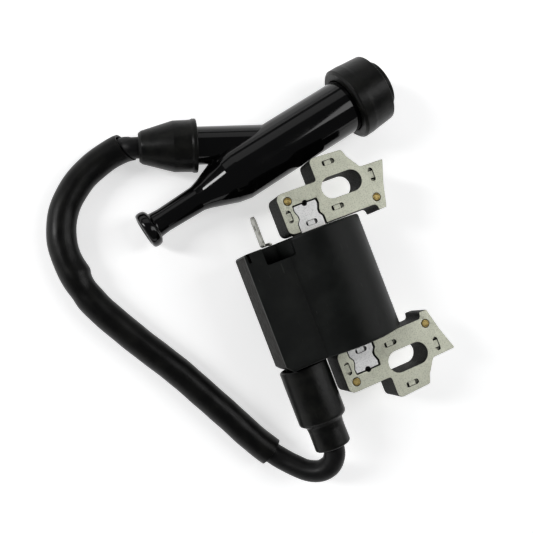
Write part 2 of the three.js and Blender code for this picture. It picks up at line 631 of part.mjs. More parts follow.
function primaryBobbin() {
  const flangeOutline = ringOutline(PRIMARY_FLANGE_OUT, PRIMARY_CORNER);
  const flange = (y) => prismAlongY(flangeOutline, y, y + FLANGE_THICKNESS);
  const tubeHalfLength = CASE_HALF_LENGTH - 0.1;
  const barRoom = roundedRectangle(BAR_X, AXIS_Z, BAR_WIDTH / 2 + GAP, CORE_THICKNESS / 2 + GAP, 0.3);
  return cut(
    join(
      prismAlongY(ringOutline(0, 0.8), -tubeHalfLength, tubeHalfLength),
      flange(WINDING_SPAN),
      flange(-BOBBIN_HALF_LENGTH),
    ),
    prismAlongY(barRoom, -CASE_HALF_LENGTH - 1, CASE_HALF_LENGTH + 1),
  );
}

function primaryWinding() {
  const half = WINDING_SPAN - GAP;
  return cut(
    prismAlongY(ringOutline(PRIMARY_DEPTH, PRIMARY_CORNER), -half, half),
    prismAlongY(ringOutline(GAP, 1.0), -half - 1, half + 1),
  );
}

/** Places along Y of the ribs between the secondary's sections. */
function ribPlaces() {
  const pitch = (2 * WINDING_SPAN) / (SECONDARY_RIBS + 1);
  return Array.from({ length: SECONDARY_RIBS }, (_, i) => (i + 1) * pitch - WINDING_SPAN);
}

function secondaryBobbin() {
  const inner = ringOutline(PRIMARY_FLANGE_OUT + GAP, PRIMARY_CORNER);
  const outer = ringOutline(SECONDARY_TUBE_OUT, SECONDARY_CORNER);
  const half = BOBBIN_HALF_LENGTH;
  const disc = (y, radius) =>
    turnedAlongY(rod(radius, 0, FLANGE_THICKNESS), BAR_X, y, AXIS_Z, 1);
  const ribs = ribPlaces().map((y) => disc(y - FLANGE_THICKNESS / 2, SECONDARY_RADIUS - 0.8));
  return cut(
    join(
      prismAlongY(outer, -half, half),
      disc(half - FLANGE_THICKNESS, SECONDARY_FLANGE_RADIUS),
      disc(-half, SECONDARY_FLANGE_RADIUS),
      ...ribs,
    ),
    prismAlongY(inner, -half - 1, half + 1),
  );
}

function secondaryWinding() {
  const half = WINDING_SPAN - GAP;
  const tubeRoom = ringOutline(SECONDARY_TUBE_OUT + GAP, SECONDARY_CORNER);
  const halfRib = FLANGE_THICKNESS / 2 + GAP;
  const room = rod(SECONDARY_RADIUS - 0.5, -halfRib, halfRib);
  const ribRoom = ribPlaces().map((y) => turnedAlongY(room, BAR_X, y, AXIS_Z, 1));
  return cut(
    turnedAlongY(rod(SECONDARY_RADIUS, -half, half), BAR_X, 0, AXIS_Z, 1),
    prismAlongY(tubeRoom, -half - 1, half + 1),
    ...ribRoom,
  );
}

// ---------------------------------------------------------------- electronics and terminals

/** Where the board ends along Y, the tower's end first. */
const boardEnds = () => [BOARD.fromTowerEnd - CAVITY_HALF_LENGTH, CAVITY_HALF_LENGTH - BOARD.fromSpadeEnd];

/** A part on the board, from its face outwards. */
function boardPart({ y, rise, depth, halfWidth, halfHeight }) {
  const x = BOARD_FACE_X - GAP;
  const z = AXIS_Z + rise;
  return block([x - depth, y - halfWidth, z - halfHeight], [x, y + halfWidth, z + halfHeight]);
}

/** A resistor lying along Y on the board: a thin body between two wider end caps. */
function boardResistor(rise) {
  const { toEnd, halfLength, endRadius, radius } = BIAS_RESISTOR;
  const y = boardEnds()[1] - toEnd;
  const cap = [[0, halfLength], [endRadius - 0.3, halfLength], [endRadius, halfLength - 0.8]];
  const half = [...cap, [radius, halfLength / 2]];
  const body = [...half.map(([r, along]) => [r, -along]), ...half.reverse()];
  return turnedAlongY(body, BOARD_FACE_X - GAP - endRadius, y, AXIS_Z + rise, 1, 10);
}

function addElectronics(group) {
  const [boardFrom, boardTo] = boardEnds();
  const board = block(
    [BOARD_FACE_X, boardFrom, AXIS_Z - BOARD.below],
    [BOARD_BACK_X, boardTo, AXIS_Z + BOARD.above],
  );
  addPiece(group, 'igniter_board', board, BOARD_LACQUER);
  addPiece(group, 'power_transistor', boardPart(CHIP_SIZES.transistor), CHIP);
  addPiece(group, 'control_chip', boardPart(CHIP_SIZES.control), CHIP);
  addPiece(group, 'timing_capacitor', boardPart(CHIP_SIZES.capacitor), CERAMIC);
  addPiece(group, 'bias_resistor_upper', boardResistor(BIAS_RESISTOR.rise), CERAMIC);
  addPiece(group, 'bias_resistor_lower', boardResistor(-BIAS_RESISTOR.rise), CERAMIC);
}

/** Spade for the stop-switch wire: blade, foot on the case's end and a tail through its wall. */
function killTerminal() {
  const { thickness, width, length } = SPADE;
  const x = SPADE_X;
  const z = SPADE_Z;
  const footY = CASE_HALF_LENGTH + GAP;
  const tipY = footY + thickness + length;
  const chamfer = 1.3;
  const tip = roundedOutline([
    [footY, z - width / 2],
    [tipY - chamfer, z - width / 2, 0.3],
    [tipY, z - width / 2 + chamfer, 0.3],
    [tipY, z + width / 2 - chamfer, 0.3],
    [tipY - chamfer, z + width / 2, 0.3],
    [footY, z + width / 2],
  ]);
  const flat = new THREE.ExtrudeGeometry(tip, { depth: thickness, bevelEnabled: false, curveSegments: 2 });
  // the outline's plane is turned so that its x runs along Y and its y along Z
  const turn = new THREE.Matrix4().makeBasis(
    new THREE.Vector3(0, 1, 0),
    new THREE.Vector3(0, 0, 1),
    new THREE.Vector3(1, 0, 0),
  );
  const blade = solidOf(flat.applyMatrix4(turn).translate(x - thickness / 2, 0, 0));
  const tailX = x + SPADE_TAIL.offsetX;
  const tailZ = z - SPADE_TAIL.drop;
  const foot = block(
    [x - thickness / 2, footY, z - width / 2],
    [tailX + thickness / 2, footY + thickness, z + width / 2],
  );
  const tail = block(
    [tailX - thickness / 2, footY - SPADE_TAIL.depth, tailZ - SPADE_TAIL.halfWidth],
    [tailX + thickness / 2, footY + thickness / 2, tailZ + SPADE_TAIL.halfWidth],
  );
  const { radius, fromTip } = SPADE_HOLE;
  const drill = new THREE.CylinderGeometry(radius, radius, 5 * thickness, SMALL_ROUND).rotateZ(Math.PI / 2);
  return cut(join(blade, foot, tail), solidOf(drill.translate(x, tipY - fromTip, z)));
}

/** Brass pin that stands in the tower and enters the lead. */
function towerPin() {
  const { at, headRadius, radius, length } = TOWER_PIN;
  const pin = [[0, 0], [headRadius, 0], [headRadius, 1], [radius, 1.4], [radius, length], [0, length + 1.5]];
  return turnedAlongY(pin, TOWER_X, at - CASE_HALF_LENGTH, AXIS_Z, -1, SMALL_ROUND);
}

/** Two-stage rubber boot over the tower, gripping the lead at its small end. */
function towerBoot() {
  const big = BOOT_BIG_RADIUS;
  const small = BOOT_SMALL_RADIUS;
  const room = TOWER_RADIUS + GAP;
  const grip = LEAD_GRIP_RADIUS;
  const profile = [
    [room, 0], [big - 0.5, 0], [big, 0.6], [big, BOOT_BIG_LENGTH - 1.2], [big - 0.5, BOOT_BIG_LENGTH - 0.2],
    [small + 0.9, BOOT_BIG_LENGTH + 0.6], [small, BOOT_BIG_LENGTH + 1.4], [small - 0.1, BOOT_LENGTH - 0.7],
    [small - 0.7, BOOT_LENGTH], [grip, BOOT_LENGTH], [grip, TOWER_LENGTH + GAP], [room, TOWER_LENGTH + GAP],
    [room, 0],
  ];
  return turnedAlongY(profile, TOWER_X, -CASE_HALF_LENGTH - GAP, AXIS_Z, -1);
}

// ---------------------------------------------------------------- plug cap's frame

// the cap rests on its seal's back rim and on the shoulder of its main tube
const CAP_TILT = Math.asin((SEAL_BACK_RADIUS - CAP_SHOULDER_RADIUS) / (SEAL_AT - CAP_SHOULDER_AT));
const CAP_JUNCTION_Z = SEAL_BACK_RADIUS - (SEAL_AT - CAP_JUNCTION_AT) * Math.sin(CAP_TILT);
const CAP_JUNCTION_Y = LOBE_TOP_Y + CAP_SHOULDER_RADIUS - CAP_OVER_LOBE;

const capGroup = new THREE.Group();
capGroup.position.set(CAP_JUNCTION_X, CAP_JUNCTION_Y, CAP_JUNCTION_Z);
capGroup.rotation.set(0, -CAP_TILT, THREE.MathUtils.degToRad(CAP_YAW), 'ZYX');
capGroup.updateMatrixWorld();

const branchAngle = THREE.MathUtils.degToRad(180 - BRANCH_ANGLE);
const branchDirection = new THREE.Vector3(Math.cos(branchAngle), Math.sin(branchAngle), 0);

/** A point on the branch's axis, in the coil's frame. */
const onBranch = (distance) => capGroup.localToWorld(branchDirection.clone().multiplyScalar(distance));

// ---------------------------------------------------------------- lead

/** The lead's whole centre line, from inside the tower to inside the cap. */
function leadLine() {
  const insideY = BOOT_END_Y + BOOT_LENGTH - TOWER_LENGTH + LEAD_IN_TOWER;
  const straight = [insideY, BOOT_END_Y + 8, BOOT_END_Y].map((y) => new THREE.Vector3(TOWER_X, y, AXIS_Z));
  const free = LEAD_ROUTE.map(([x, y, z = FLOOR_RUN_Z]) => new THREE.Vector3(x, y, z));
  const bootMouth = CAP_BOOT_AT + CAP_BOOT_LENGTH;
  const intoCap = [bootMouth + 3, bootMouth, bootMouth - 12, LEAD_IN_CAP + 12, LEAD_IN_CAP].map(onBranch);
  return { points: [...straight, ...free, ...intoCap], firstFree: straight.length };
}

/** The part of a line between two of its equal steps, as a curve of its own. */
class Stretch extends THREE.Curve {
  constructor(whole, allSteps, from, to) {
    super();
    this.whole = whole;
    this.allSteps = allSteps;
    this.from = from;
    this.steps = to - from;
  }

  getPoint(t, target = new THREE.Vector3()) {
    return this.whole.getPointAt((this.from + this.steps * t) / this.allSteps, target);
  }

  // the line is already measured by its length, so every piece on it bends at the same places
  getUtoTmapping(u) {
    return u;
  }
}

/** The step of a line that lies nearest one of its own points. */
function stepAt(line, allSteps, index) {
  const fineness = 40;
  const parts = (line.points.length - 1) * fineness;
  const lengths = line.getLengths(parts);
  return Math.round((lengths[index * fineness] / lengths[parts]) * allSteps);
}

/** A round section, hollow when an inner radius is given. */
function roundSection(radius, innerRadius, sides) {
  const ring = (r) =>
    Array.from({ length: sides }, (_, i) => {
      const angle = (2 * Math.PI * i) / sides;
      return new THREE.Vector2(r * Math.cos(angle), r * Math.sin(angle));
    });
  const shape = new THREE.Shape(ring(radius));
  if (innerRadius > 0) shape.holes.push(new THREE.Path(ring(innerRadius)));
  return shape;
}

/** A solid of one section along a curve. */
const swept = (section, extrudePath, steps) =>
  solidOf(new THREE.ExtrudeGeometry(section, { steps, bevelEnabled: false, extrudePath }));

/** A tube of a round section along a stretch of the lead's line. */
const tubeAlong = (stretch, radius, innerRadius, sides) =>
  swept(roundSection(radius, innerRadius, sides), stretch, stretch.steps);

function addLead(group) {
  const { points, firstFree } = leadLine();
  const line = new THREE.CatmullRomCurve3(points, false, 'centripetal');
  line.arcLengthDivisions = 1200;
  const allSteps = Math.round(line.getLength() / ROUTE_STEP);
  const sleeveFrom = stepAt(line, allSteps, firstFree + SLEEVE_FROM_POINT);
  const sleeveTo = stepAt(line, allSteps, firstFree + SLEEVE_TO_POINT);
  const jacket = new Stretch(line, allSteps, 0, allSteps);
  const wire = new Stretch(line, allSteps, 2, allSteps - 2); // the pin and the screw take up its ends
  const sleeve = new Stretch(line, allSteps, sleeveFrom, sleeveTo);
  addPiece(group, 'lead_jacket', tubeAlong(jacket, LEAD_RADIUS, LEAD_BORE_RADIUS, 8), LEAD_PVC);
  addPiece(group, 'lead_conductor', tubeAlong(wire, CONDUCTOR_RADIUS, 0, 6), COPPER);
  addPiece(group, 'lead_sleeve', tubeAlong(sleeve, SLEEVE_RADIUS, SLEEVE_BORE_RADIUS, 10), SLEEVE_PVC);
}

// ---------------------------------------------------------------- plug cap

/** A turned solid along the branch; distances are measured from the junction. */
function turnedOnBranch(profile, segments = ROUND) {
  const geometry = turned(profile, segments).rotateZ(-Math.PI / 2);
  return solidOf(geometry.rotateZ(branchAngle));
}

/** A turned solid along the main axis; distances are measured from the handle's end. */
function turnedOnMain(profile, segments = ROUND) {
  return turnedAlongX(profile.map(([radius, along]) => [radius, along - CAP_JUNCTION_AT]), segments);
}

function capBody() {
  const flange = HANDLE_FLANGE_RADIUS;
  const main = turnedOnMain([
    [0, 0], [flange - 1.7, 0], [flange - 0.5, 0.6], [flange, 1.7], [flange - 0.5, 2.8],
    [HANDLE_RADIUS + 0.5, 3.9], [HANDLE_RADIUS, 5.6], [HANDLE_RADIUS + 0.4, CAP_NECK_AT - 2.5],
    [HANDLE_RADIUS + 1.1, CAP_NECK_AT], [CAP_SHOULDER_RADIUS - 1.0, CAP_SHOULDER_AT - 3.4],
    [CAP_SHOULDER_RADIUS - 0.2, CAP_SHOULDER_AT - 1.4], [CAP_SHOULDER_RADIUS, CAP_SHOULDER_AT],
    [CAP_TUBE_RADIUS, CAP_TUBE_END], [0, CAP_TUBE_END],
  ], FINE_ROUND);
  const branch = turnedOnBranch(rod(BRANCH_RADIUS, 0, BRANCH_LENGTH));
  const mainBore = turnedOnMain([
    [0, CAP_BORE_AT], [CAP_BORE_RADIUS, CAP_BORE_AT],
    [CAP_BORE_RADIUS, SOCKET_BORE_AT], [SOCKET_BORE_RADIUS, SOCKET_BORE_AT],
    [SOCKET_BORE_RADIUS, CAP_TUBE_END + 1], [0, CAP_TUBE_END + 1],
  ]);
  const branchBore = turnedOnBranch(rod(BRANCH_BORE_RADIUS, 5, BRANCH_LENGTH + 1), 16);
  return cut(join(main, branch), mainBore, branchBore);
}

/** Rubber seal pushed over the mouth, with a thin lip that wipes the plug. */
function plugSeal() {
  const tubeRoom = CAP_TUBE_RADIUS + GAP;
  const front = SEAL_AT + SEAL_LENGTH;
  const lipEnd = front + SEAL_LIP_LENGTH;
  const step = CAP_TUBE_END + GAP;
  return turnedOnMain([
    [tubeRoom, SEAL_AT], [SEAL_BACK_RADIUS - 0.8, SEAL_AT], [SEAL_BACK_RADIUS, SEAL_AT + 0.8],
    [SEAL_BACK_RADIUS - 0.1, SEAL_AT + 4], [SEAL_FRONT_RADIUS, front - 0.6], [SEAL_FRONT_RADIUS - 0.6, front],
    [SEAL_LIP_RADIUS, front], [SEAL_LIP_RADIUS, lipEnd - 0.5], [SEAL_LIP_RADIUS - 0.5, lipEnd],
    [SEAL_BORE_RADIUS, lipEnd], [SEAL_BORE_RADIUS, step], [tubeRoom, step], [tubeRoom, SEAL_AT],
  ], FINE_ROUND);
}

/** Conical rubber boot between the lead and the branch. */
function capBoot() {
  const at = CAP_BOOT_AT;
  const end = at + CAP_BOOT_LENGTH;
  const room = BRANCH_RADIUS + GAP;
  const grip = LEAD_GRIP_RADIUS;
  const step = BRANCH_LENGTH + GAP;
  const big = CAP_BOOT_BIG_RADIUS;
  const small = CAP_BOOT_SMALL_RADIUS;
  return turnedOnBranch([
    [room, at], [big - 0.6, at], [big, at + 0.7], [big - 0.3, at + 7], [big - 0.9, at + 9.5],
    [small + 0.2, end - 1.2], [small - 0.4, end - 0.2], [small - 0.8, end],
    [grip, end], [grip, step], [room, step], [room, at],
  ]);
}

/** A helical spring on the main axis. */
function contactSpring(from, to) {
  const { radius, wire, turns } = CONTACT_SPRING;
  const start = from - CAP_JUNCTION_AT + wire;
  const rise = to - from - 2 * wire;
  class Helix extends THREE.Curve {
    getPoint(t, target = new THREE.Vector3()) {
      const angle = 2 * Math.PI * turns * t;
      return target.set(start + rise * t, radius * Math.cos(angle), radius * Math.sin(angle));
    }
  }
  return swept(roundSection(wire, 0, 5), new Helix(), turns * 12);
}

/** Open wire ring that snaps on the plug's terminal nut. */
function plugClip(at) {
  const { outside, wire, halfMouth } = PLUG_CLIP;
  const radius = SOCKET_BORE_RADIUS - outside;
  class OpenRing extends THREE.Curve {
    getPoint(t, target = new THREE.Vector3()) {
      const angle = halfMouth + 2 * (Math.PI - halfMouth) * t;
      return target.set(at - CAP_JUNCTION_AT, radius * Math.cos(angle), radius * Math.sin(angle));
    }
  }
  return swept(roundSection(wire, 0, 5), new OpenRing(), 18);
}

function addCap() {
  addPiece(capGroup, 'cap_body', capBody(), CAP_PHENOLIC);
  addPiece(capGroup, 'cap_boot', capBoot(), RUBBER);
  addPiece(capGroup, 'plug_seal', plugSeal(), RUBBER);
  // current path, from the lead's end to the plug
  const blockRadius = CAP_BORE_RADIUS - GAP;
  const blockFrom = CAP_BORE_AT + 1;
  const blockTo = blockFrom + BLOCK_LENGTH;
  addPiece(capGroup, 'contact_block', turnedOnMain(rod(blockRadius, blockFrom, blockTo), 16), BRASS);
  const { radius, clear, into, tip } = CAP_SCREW;
  const screwFrom = blockRadius / Math.sin(THREE.MathUtils.degToRad(BRANCH_ANGLE)) + clear;
  const screwTo = LEAD_IN_CAP + into;
  const screw = [[0, screwFrom], [radius, screwFrom], [radius, screwTo], [0, screwTo + tip]];
  addPiece(capGroup, 'cap_screw', turnedOnBranch(screw, 8), PLATED_STEEL);
  const springTo = SOCKET_BORE_AT + 0.4;
  const springFrom = springTo - SPRING_LENGTH;
  const resistor = rod(SUPPRESSOR_RADIUS, blockTo + GAP, springFrom - GAP);
  addPiece(capGroup, 'suppressor_resistor', turnedOnMain(resistor, 16), CERAMIC);
  addPiece(capGroup, 'contact_spring', contactSpring(springFrom, springTo), PLATED_STEEL);
  const socketAt = SOCKET_BORE_AT + PLUG_SOCKET.rise;
  const socketEnd = CAP_TUBE_END - PLUG_SOCKET.back;
  const floor = socketAt + PLUG_SOCKET.floor;
  const { outside, bore } = PLUG_SOCKET;
  const outer = SOCKET_BORE_RADIUS - outside;
  const cup = [
    [0, socketAt], [outer, socketAt], [outer, socketEnd],
    [bore, socketEnd], [bore, floor], [0, floor],
  ];
  addPiece(capGroup, 'plug_socket', turnedOnMain(cup, 20), BRASS);
  addPiece(capGroup, 'plug_clip', plugClip(socketEnd - PLUG_CLIP.fromEnd), PLATED_STEEL);
}

// ---------------------------------------------------------------- assembly

const coil = new THREE.Group();
addCore(coil);
addPiece(coil, 'coil_case', coilCase(), CASE_PLASTIC);
addPiece(coil, 'potting_fill', pottingFill(), EPOXY);
addPiece(coil, 'primary_bobbin', primaryBobbin(), BOBBIN_PLASTIC);
addPiece(coil, 'primary_winding', primaryWinding(), COPPER);
addPiece(coil, 'secondary_bobbin', secondaryBobbin(), BOBBIN_PLASTIC);
addPiece(coil, 'secondary_winding', secondaryWinding(), COPPER);
addElectronics(coil);
addPiece(coil, 'kill_terminal', killTerminal(), PLATED_STEEL);
addPiece(coil, 'tower_pin', towerPin(), BRASS);
addPiece(coil, 'tower_boot', towerBoot(), RUBBER);

// the origin is under the middle of the coil, on the surface that it lies on
const footprint = new THREE.Box3().setFromObject(coil, true);
const middle = footprint.getCenter(new THREE.Vector3());

const lead = new THREE.Group();
addLead(lead);
addCap();

const ignitionCoil = new THREE.Group();
ignitionCoil.position.set(-middle.x, -middle.y, 0);
ignitionCoil.add(coil, lead, capGroup);

export default ignitionCoil;
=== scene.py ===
"""Looks of an ignition coil with its high-tension lead and plug cap.

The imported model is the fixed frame. Pieces are worked out in millimetres in the design's own
frame, whose origin lies on the floor, midway between the core's two fixing slots: X runs along
the legs towards the pole faces, Y along the centre bar towards the upper leg, and Z is up.
"""

import logging
import math
from collections.abc import Callable, Sequence
from dataclasses import dataclass, field
from enum import Enum
from typing import Protocol

import bmesh
import bpy
import numpy as np
from mathutils import Matrix, Vector
from mathutils.geometry import tessellate_polygon


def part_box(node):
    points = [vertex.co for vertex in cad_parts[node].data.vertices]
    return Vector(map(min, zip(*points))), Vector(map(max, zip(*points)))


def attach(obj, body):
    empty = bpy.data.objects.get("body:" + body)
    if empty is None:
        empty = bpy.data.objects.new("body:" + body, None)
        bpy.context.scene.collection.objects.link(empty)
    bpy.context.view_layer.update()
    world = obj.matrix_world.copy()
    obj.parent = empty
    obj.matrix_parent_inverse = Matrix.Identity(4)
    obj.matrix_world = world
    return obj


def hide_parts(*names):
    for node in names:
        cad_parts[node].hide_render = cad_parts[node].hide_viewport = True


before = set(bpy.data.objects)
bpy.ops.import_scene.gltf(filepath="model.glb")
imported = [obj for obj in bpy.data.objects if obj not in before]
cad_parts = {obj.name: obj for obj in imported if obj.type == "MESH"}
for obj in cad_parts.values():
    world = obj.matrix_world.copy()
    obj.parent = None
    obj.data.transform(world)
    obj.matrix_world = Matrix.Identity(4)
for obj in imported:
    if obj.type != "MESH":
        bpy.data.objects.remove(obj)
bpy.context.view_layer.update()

LOG = logging.getLogger("ignition_coil")
MM = 0.001
DOUBLED = 2e-7  # metres within which two points are one
NO_LENGTH = 1e-8  # metres under which an edge is nothing

Points = np.ndarray
Corners = Sequence[tuple[float, ...]]
Colour = tuple[float, float, float]
Spot = tuple[float, float, float]
Piece = bpy.types.Object
Socket = bpy.types.NodeSocket
Material = bpy.types.Material


class Body(str, Enum):
    """The rigid bodies that pieces ride on."""

    COIL = "coil"
    CAP = "cap"


class Joining(str, Enum):
    """The ways in which closed pieces are combined."""

    UNION = "UNION"
    DIFFERENCE = "DIFFERENCE"
    INTERSECT = "INTERSECT"


# ------------------------------------------------------------------ shared sizes, in millimetres

BAR_X = -14.0  # axis of the core's centre bar
CORE_THICKNESS = 11.5
LEG_INNER_Y = 20.0
LEG_OUTER_Y = 33.6
LOBE_TOP_Y = 41.1
CASE_HALF_LENGTH = 19.4
TOWER_X = -32.4
TOWER_LENGTH = 18.4
GAP = 0.3  # between pieces that touch
LEAD_RADIUS = 3.5
SEAM_WIDTH = 0.03  # of a parting line, in radians
PARTING_LINE = 0.05  # its height on the rubber pieces


def design_origin() -> tuple[Points, float]:
    """Find the design's frame from the winding, which is centred on the bar.

    Returns:
        The design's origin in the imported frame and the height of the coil's axis, in millimetres.
    """
    low, high = (np.array(corner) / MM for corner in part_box("primary_winding"))
    middle = (low + high) / 2
    return np.array([middle[0] - BAR_X, middle[1], 0.0]), float(middle[2])


ORIGIN, AXIS_Z = design_origin()
CORE_BOTTOM_Z = AXIS_Z - CORE_THICKNESS / 2
CORE_TOP_Z = AXIS_Z + CORE_THICKNESS / 2


# ------------------------------------------------------------------ curves and grids


def rounded_path(corners: Corners, steps: int = 8, closed: bool = False) -> Points:
    """Round the corners of a path by quadratic curves.

    Each corner C of radius r becomes (1-t)^2 S + 2t(1-t) C + t^2 E, where S and E lie on its two
    sides at the distance at which a circle of radius r would touch them.

    Args:
        corners: (x, y) or (x, y, radius) for each corner.
        steps: Spans of each rounded corner.
        closed: Whether the last corner joins the first.

    Returns:
        The path's points, as an (n, 2) array.
    """
    spots = np.array([corner[:2] for corner in corners], float)
    radii = [corner[2] if len(corner) > 2 else 0.0 for corner in corners]
    t = np.linspace(0, 1, steps + 1)[:, None]
    pieces = []
    for i, (spot, radius) in enumerate(zip(spots, radii)):
        is_end = not closed and i in (0, len(spots) - 1)
        if radius <= 0 or is_end:
            pieces.append(spot[None])
            continue
        back = spots[i - 1] - spot
        ahead = spots[(i + 1) % len(spots)] - spot
        back, ahead = back / np.linalg.norm(back), ahead / np.linalg.norm(ahead)
        half_angle = math.acos(np.clip(back @ ahead, -1, 1)) / 2
        setback = radius / math.tan(half_angle)
        start, end = spot + back * setback, spot + ahead * setback
        pieces.append((1 - t) ** 2 * start + 2 * t * (1 - t) * spot + t**2 * end)
    return np.vstack(pieces)


def arc(x: float, y: float, radius: float, start: float, stop: float, steps: int) -> Points:
    """Points of a circle's arc between two angles in radians, ends included."""
    angles = np.linspace(start, stop, steps + 1)
    return np.column_stack([x + radius * np.cos(angles), y + radius * np.sin(angles)])


def circle(x: float, y: float, radius: float, steps: int) -> Points:
    """Points of a whole circle, the first not repeated."""
    return arc(x, y, radius, 0, 2 * math.pi, steps)[:-1]


def shrunk(loop: Points, inset: float) -> Points:
    """Move a counter-clockwise loop's points inwards along the mean normal of their two sides.

    Args:
        loop: The loop's points, (n, 2).
        inset: How far each point moves.

    Returns:
        The smaller loop.
    """
    side = np.roll(loop, -1, axis=0) - np.roll(loop, 1, axis=0)
    side /= np.linalg.norm(side, axis=1, keepdims=True)
    return loop + inset * np.column_stack([-side[:, 1], side[:, 0]])


def smoothstep(value: Points | float) -> Points | float:
    """Rise from 0 to 1 as 3t^2 - 2t^3, held flat outside that range."""
    t = np.clip(value, 0, 1)
    return t * t * (3 - 2 * t)


def turned(profile: Points, segments: int, seam: float = 0.0) -> Points:
    """Turn a profile about X, with an optional raised parting line on its two sides.

    A point at distance a and radius r becomes (a, r cos q, r sin q); the parting line adds a
    narrow bell of the given height to r where q is 0 or half a turn.

    Args:
        profile: (radius, distance) points, (n, 2).
        segments: Points round each ring.
        seam: Height of the parting line.

    Returns:
        The rings, as an (n, segments, 3) grid.
    """
    angle = np.linspace(0, 2 * math.pi, segments, endpoint=False)
    from_seam = np.abs((angle + math.pi / 2) % math.pi - math.pi / 2)
    radius = profile[:, :1] + seam * np.exp(-((from_seam / SEAM_WIDTH) ** 2)) * (profile[:, :1] > seam)
    along = np.broadcast_to(profile[:, 1:], radius.shape)
    return np.stack([along, radius * np.cos(angle), radius * np.sin(angle)], axis=-1)


def path_frames(path: Points) -> tuple[Points, Points, Points]:
    """Carry a level frame along a path.

    Args:
        path: The path's points, (n, 3).

    Returns:
        Unit tangents, level side vectors and the upward vectors at right angles to both.
    """
    tangent = np.gradient(path, axis=0)
    tangent /= np.linalg.norm(tangent, axis=1, keepdims=True)
    side = np.cross(np.array([0.0, 0.0, 1.0]), tangent)
    side /= np.linalg.norm(side, axis=1, keepdims=True)
    return tangent, side, np.cross(tangent, side)


def swept(path: Points, radius: Points, sides: int) -> Points:
    """Carry a round section along a path.

    A ring's point is path + r (cos q side + sin q up), where r may differ with place and angle.

    Args:
        path: The path's points, (n, 3).
        radius: Radii that broadcast to (n, sides).
        sides: Points round each ring.

    Returns:
        The rings, as an (n, sides, 3) grid.
    """
    _, side, up = path_frames(path)
    angle = np.linspace(0, 2 * math.pi, sides, endpoint=False)
    reach = np.broadcast_to(radius, (len(path), sides))[..., None]
    across, rise = np.cos(angle)[None, :, None], np.sin(angle)[None, :, None]
    return path[:, None] + reach * (across * side[:, None] + rise * up[:, None])


def lengths_along(path: Points) -> Points:
    """Length of a path from its start to each of its points."""
    return np.concatenate([[0.0], np.cumsum(np.linalg.norm(np.diff(path, axis=0), axis=1))])


def resampled(path: Points, spacing: float) -> Points:
    """Space a path's points evenly by straight interpolation over its length.

    Args:
        path: The path's points, (n, 2) or (n, 3).
        spacing: The wanted distance between points, met as nearly as a whole number of spans can.

    Returns:
        The new points, first and last kept.
    """
    length = lengths_along(path)
    places = np.linspace(0, length[-1], round(length[-1] / spacing) + 1)
    columns = [np.interp(places, length, column) for column in path.T]
    return np.column_stack(columns)


def centripetal_spline(points: Points, steps: int) -> Points:
    """Draw one smooth curve through points.

    Between two points it is the cubic whose end slopes are those of the centripetal Catmull-Rom
    curve, with knots spaced by the square root of the distance between the points.

    Args:
        points: The points, (n, 3).
        steps: Spans between two neighbouring points.

    Returns:
        The curve's points.
    """
    first, last = 2 * points[0] - points[1], 2 * points[-1] - points[-2]
    p = np.vstack([first, points, last])
    knot = np.sqrt(np.linalg.norm(np.diff(p, axis=0), axis=1))[:, None]
    before, here, after = knot[:-2], knot[1:-1], knot[2:]
    p0, p1, p2, p3 = p[:-3], p[1:-2], p[2:-1], p[3:]
    slope1 = ((p1 - p0) / before - (p2 - p0) / (before + here) + (p2 - p1) / here) * here
    slope2 = ((p2 - p1) / here - (p3 - p1) / (here + after) + (p3 - p2) / after) * here
    t = np.linspace(0, 1, steps, endpoint=False)[None, :, None]
    square = -3 * p1 + 3 * p2 - 2 * slope1 - slope2
    cube = 2 * p1 - 2 * p2 + slope1 + slope2
    curve = p1[:, None] + slope1[:, None] * t + square[:, None] * t**2 + cube[:, None] * t**3
    return np.vstack([curve.reshape(-1, 3), points[-1:]])


# ------------------------------------------------------------------ closed surfaces


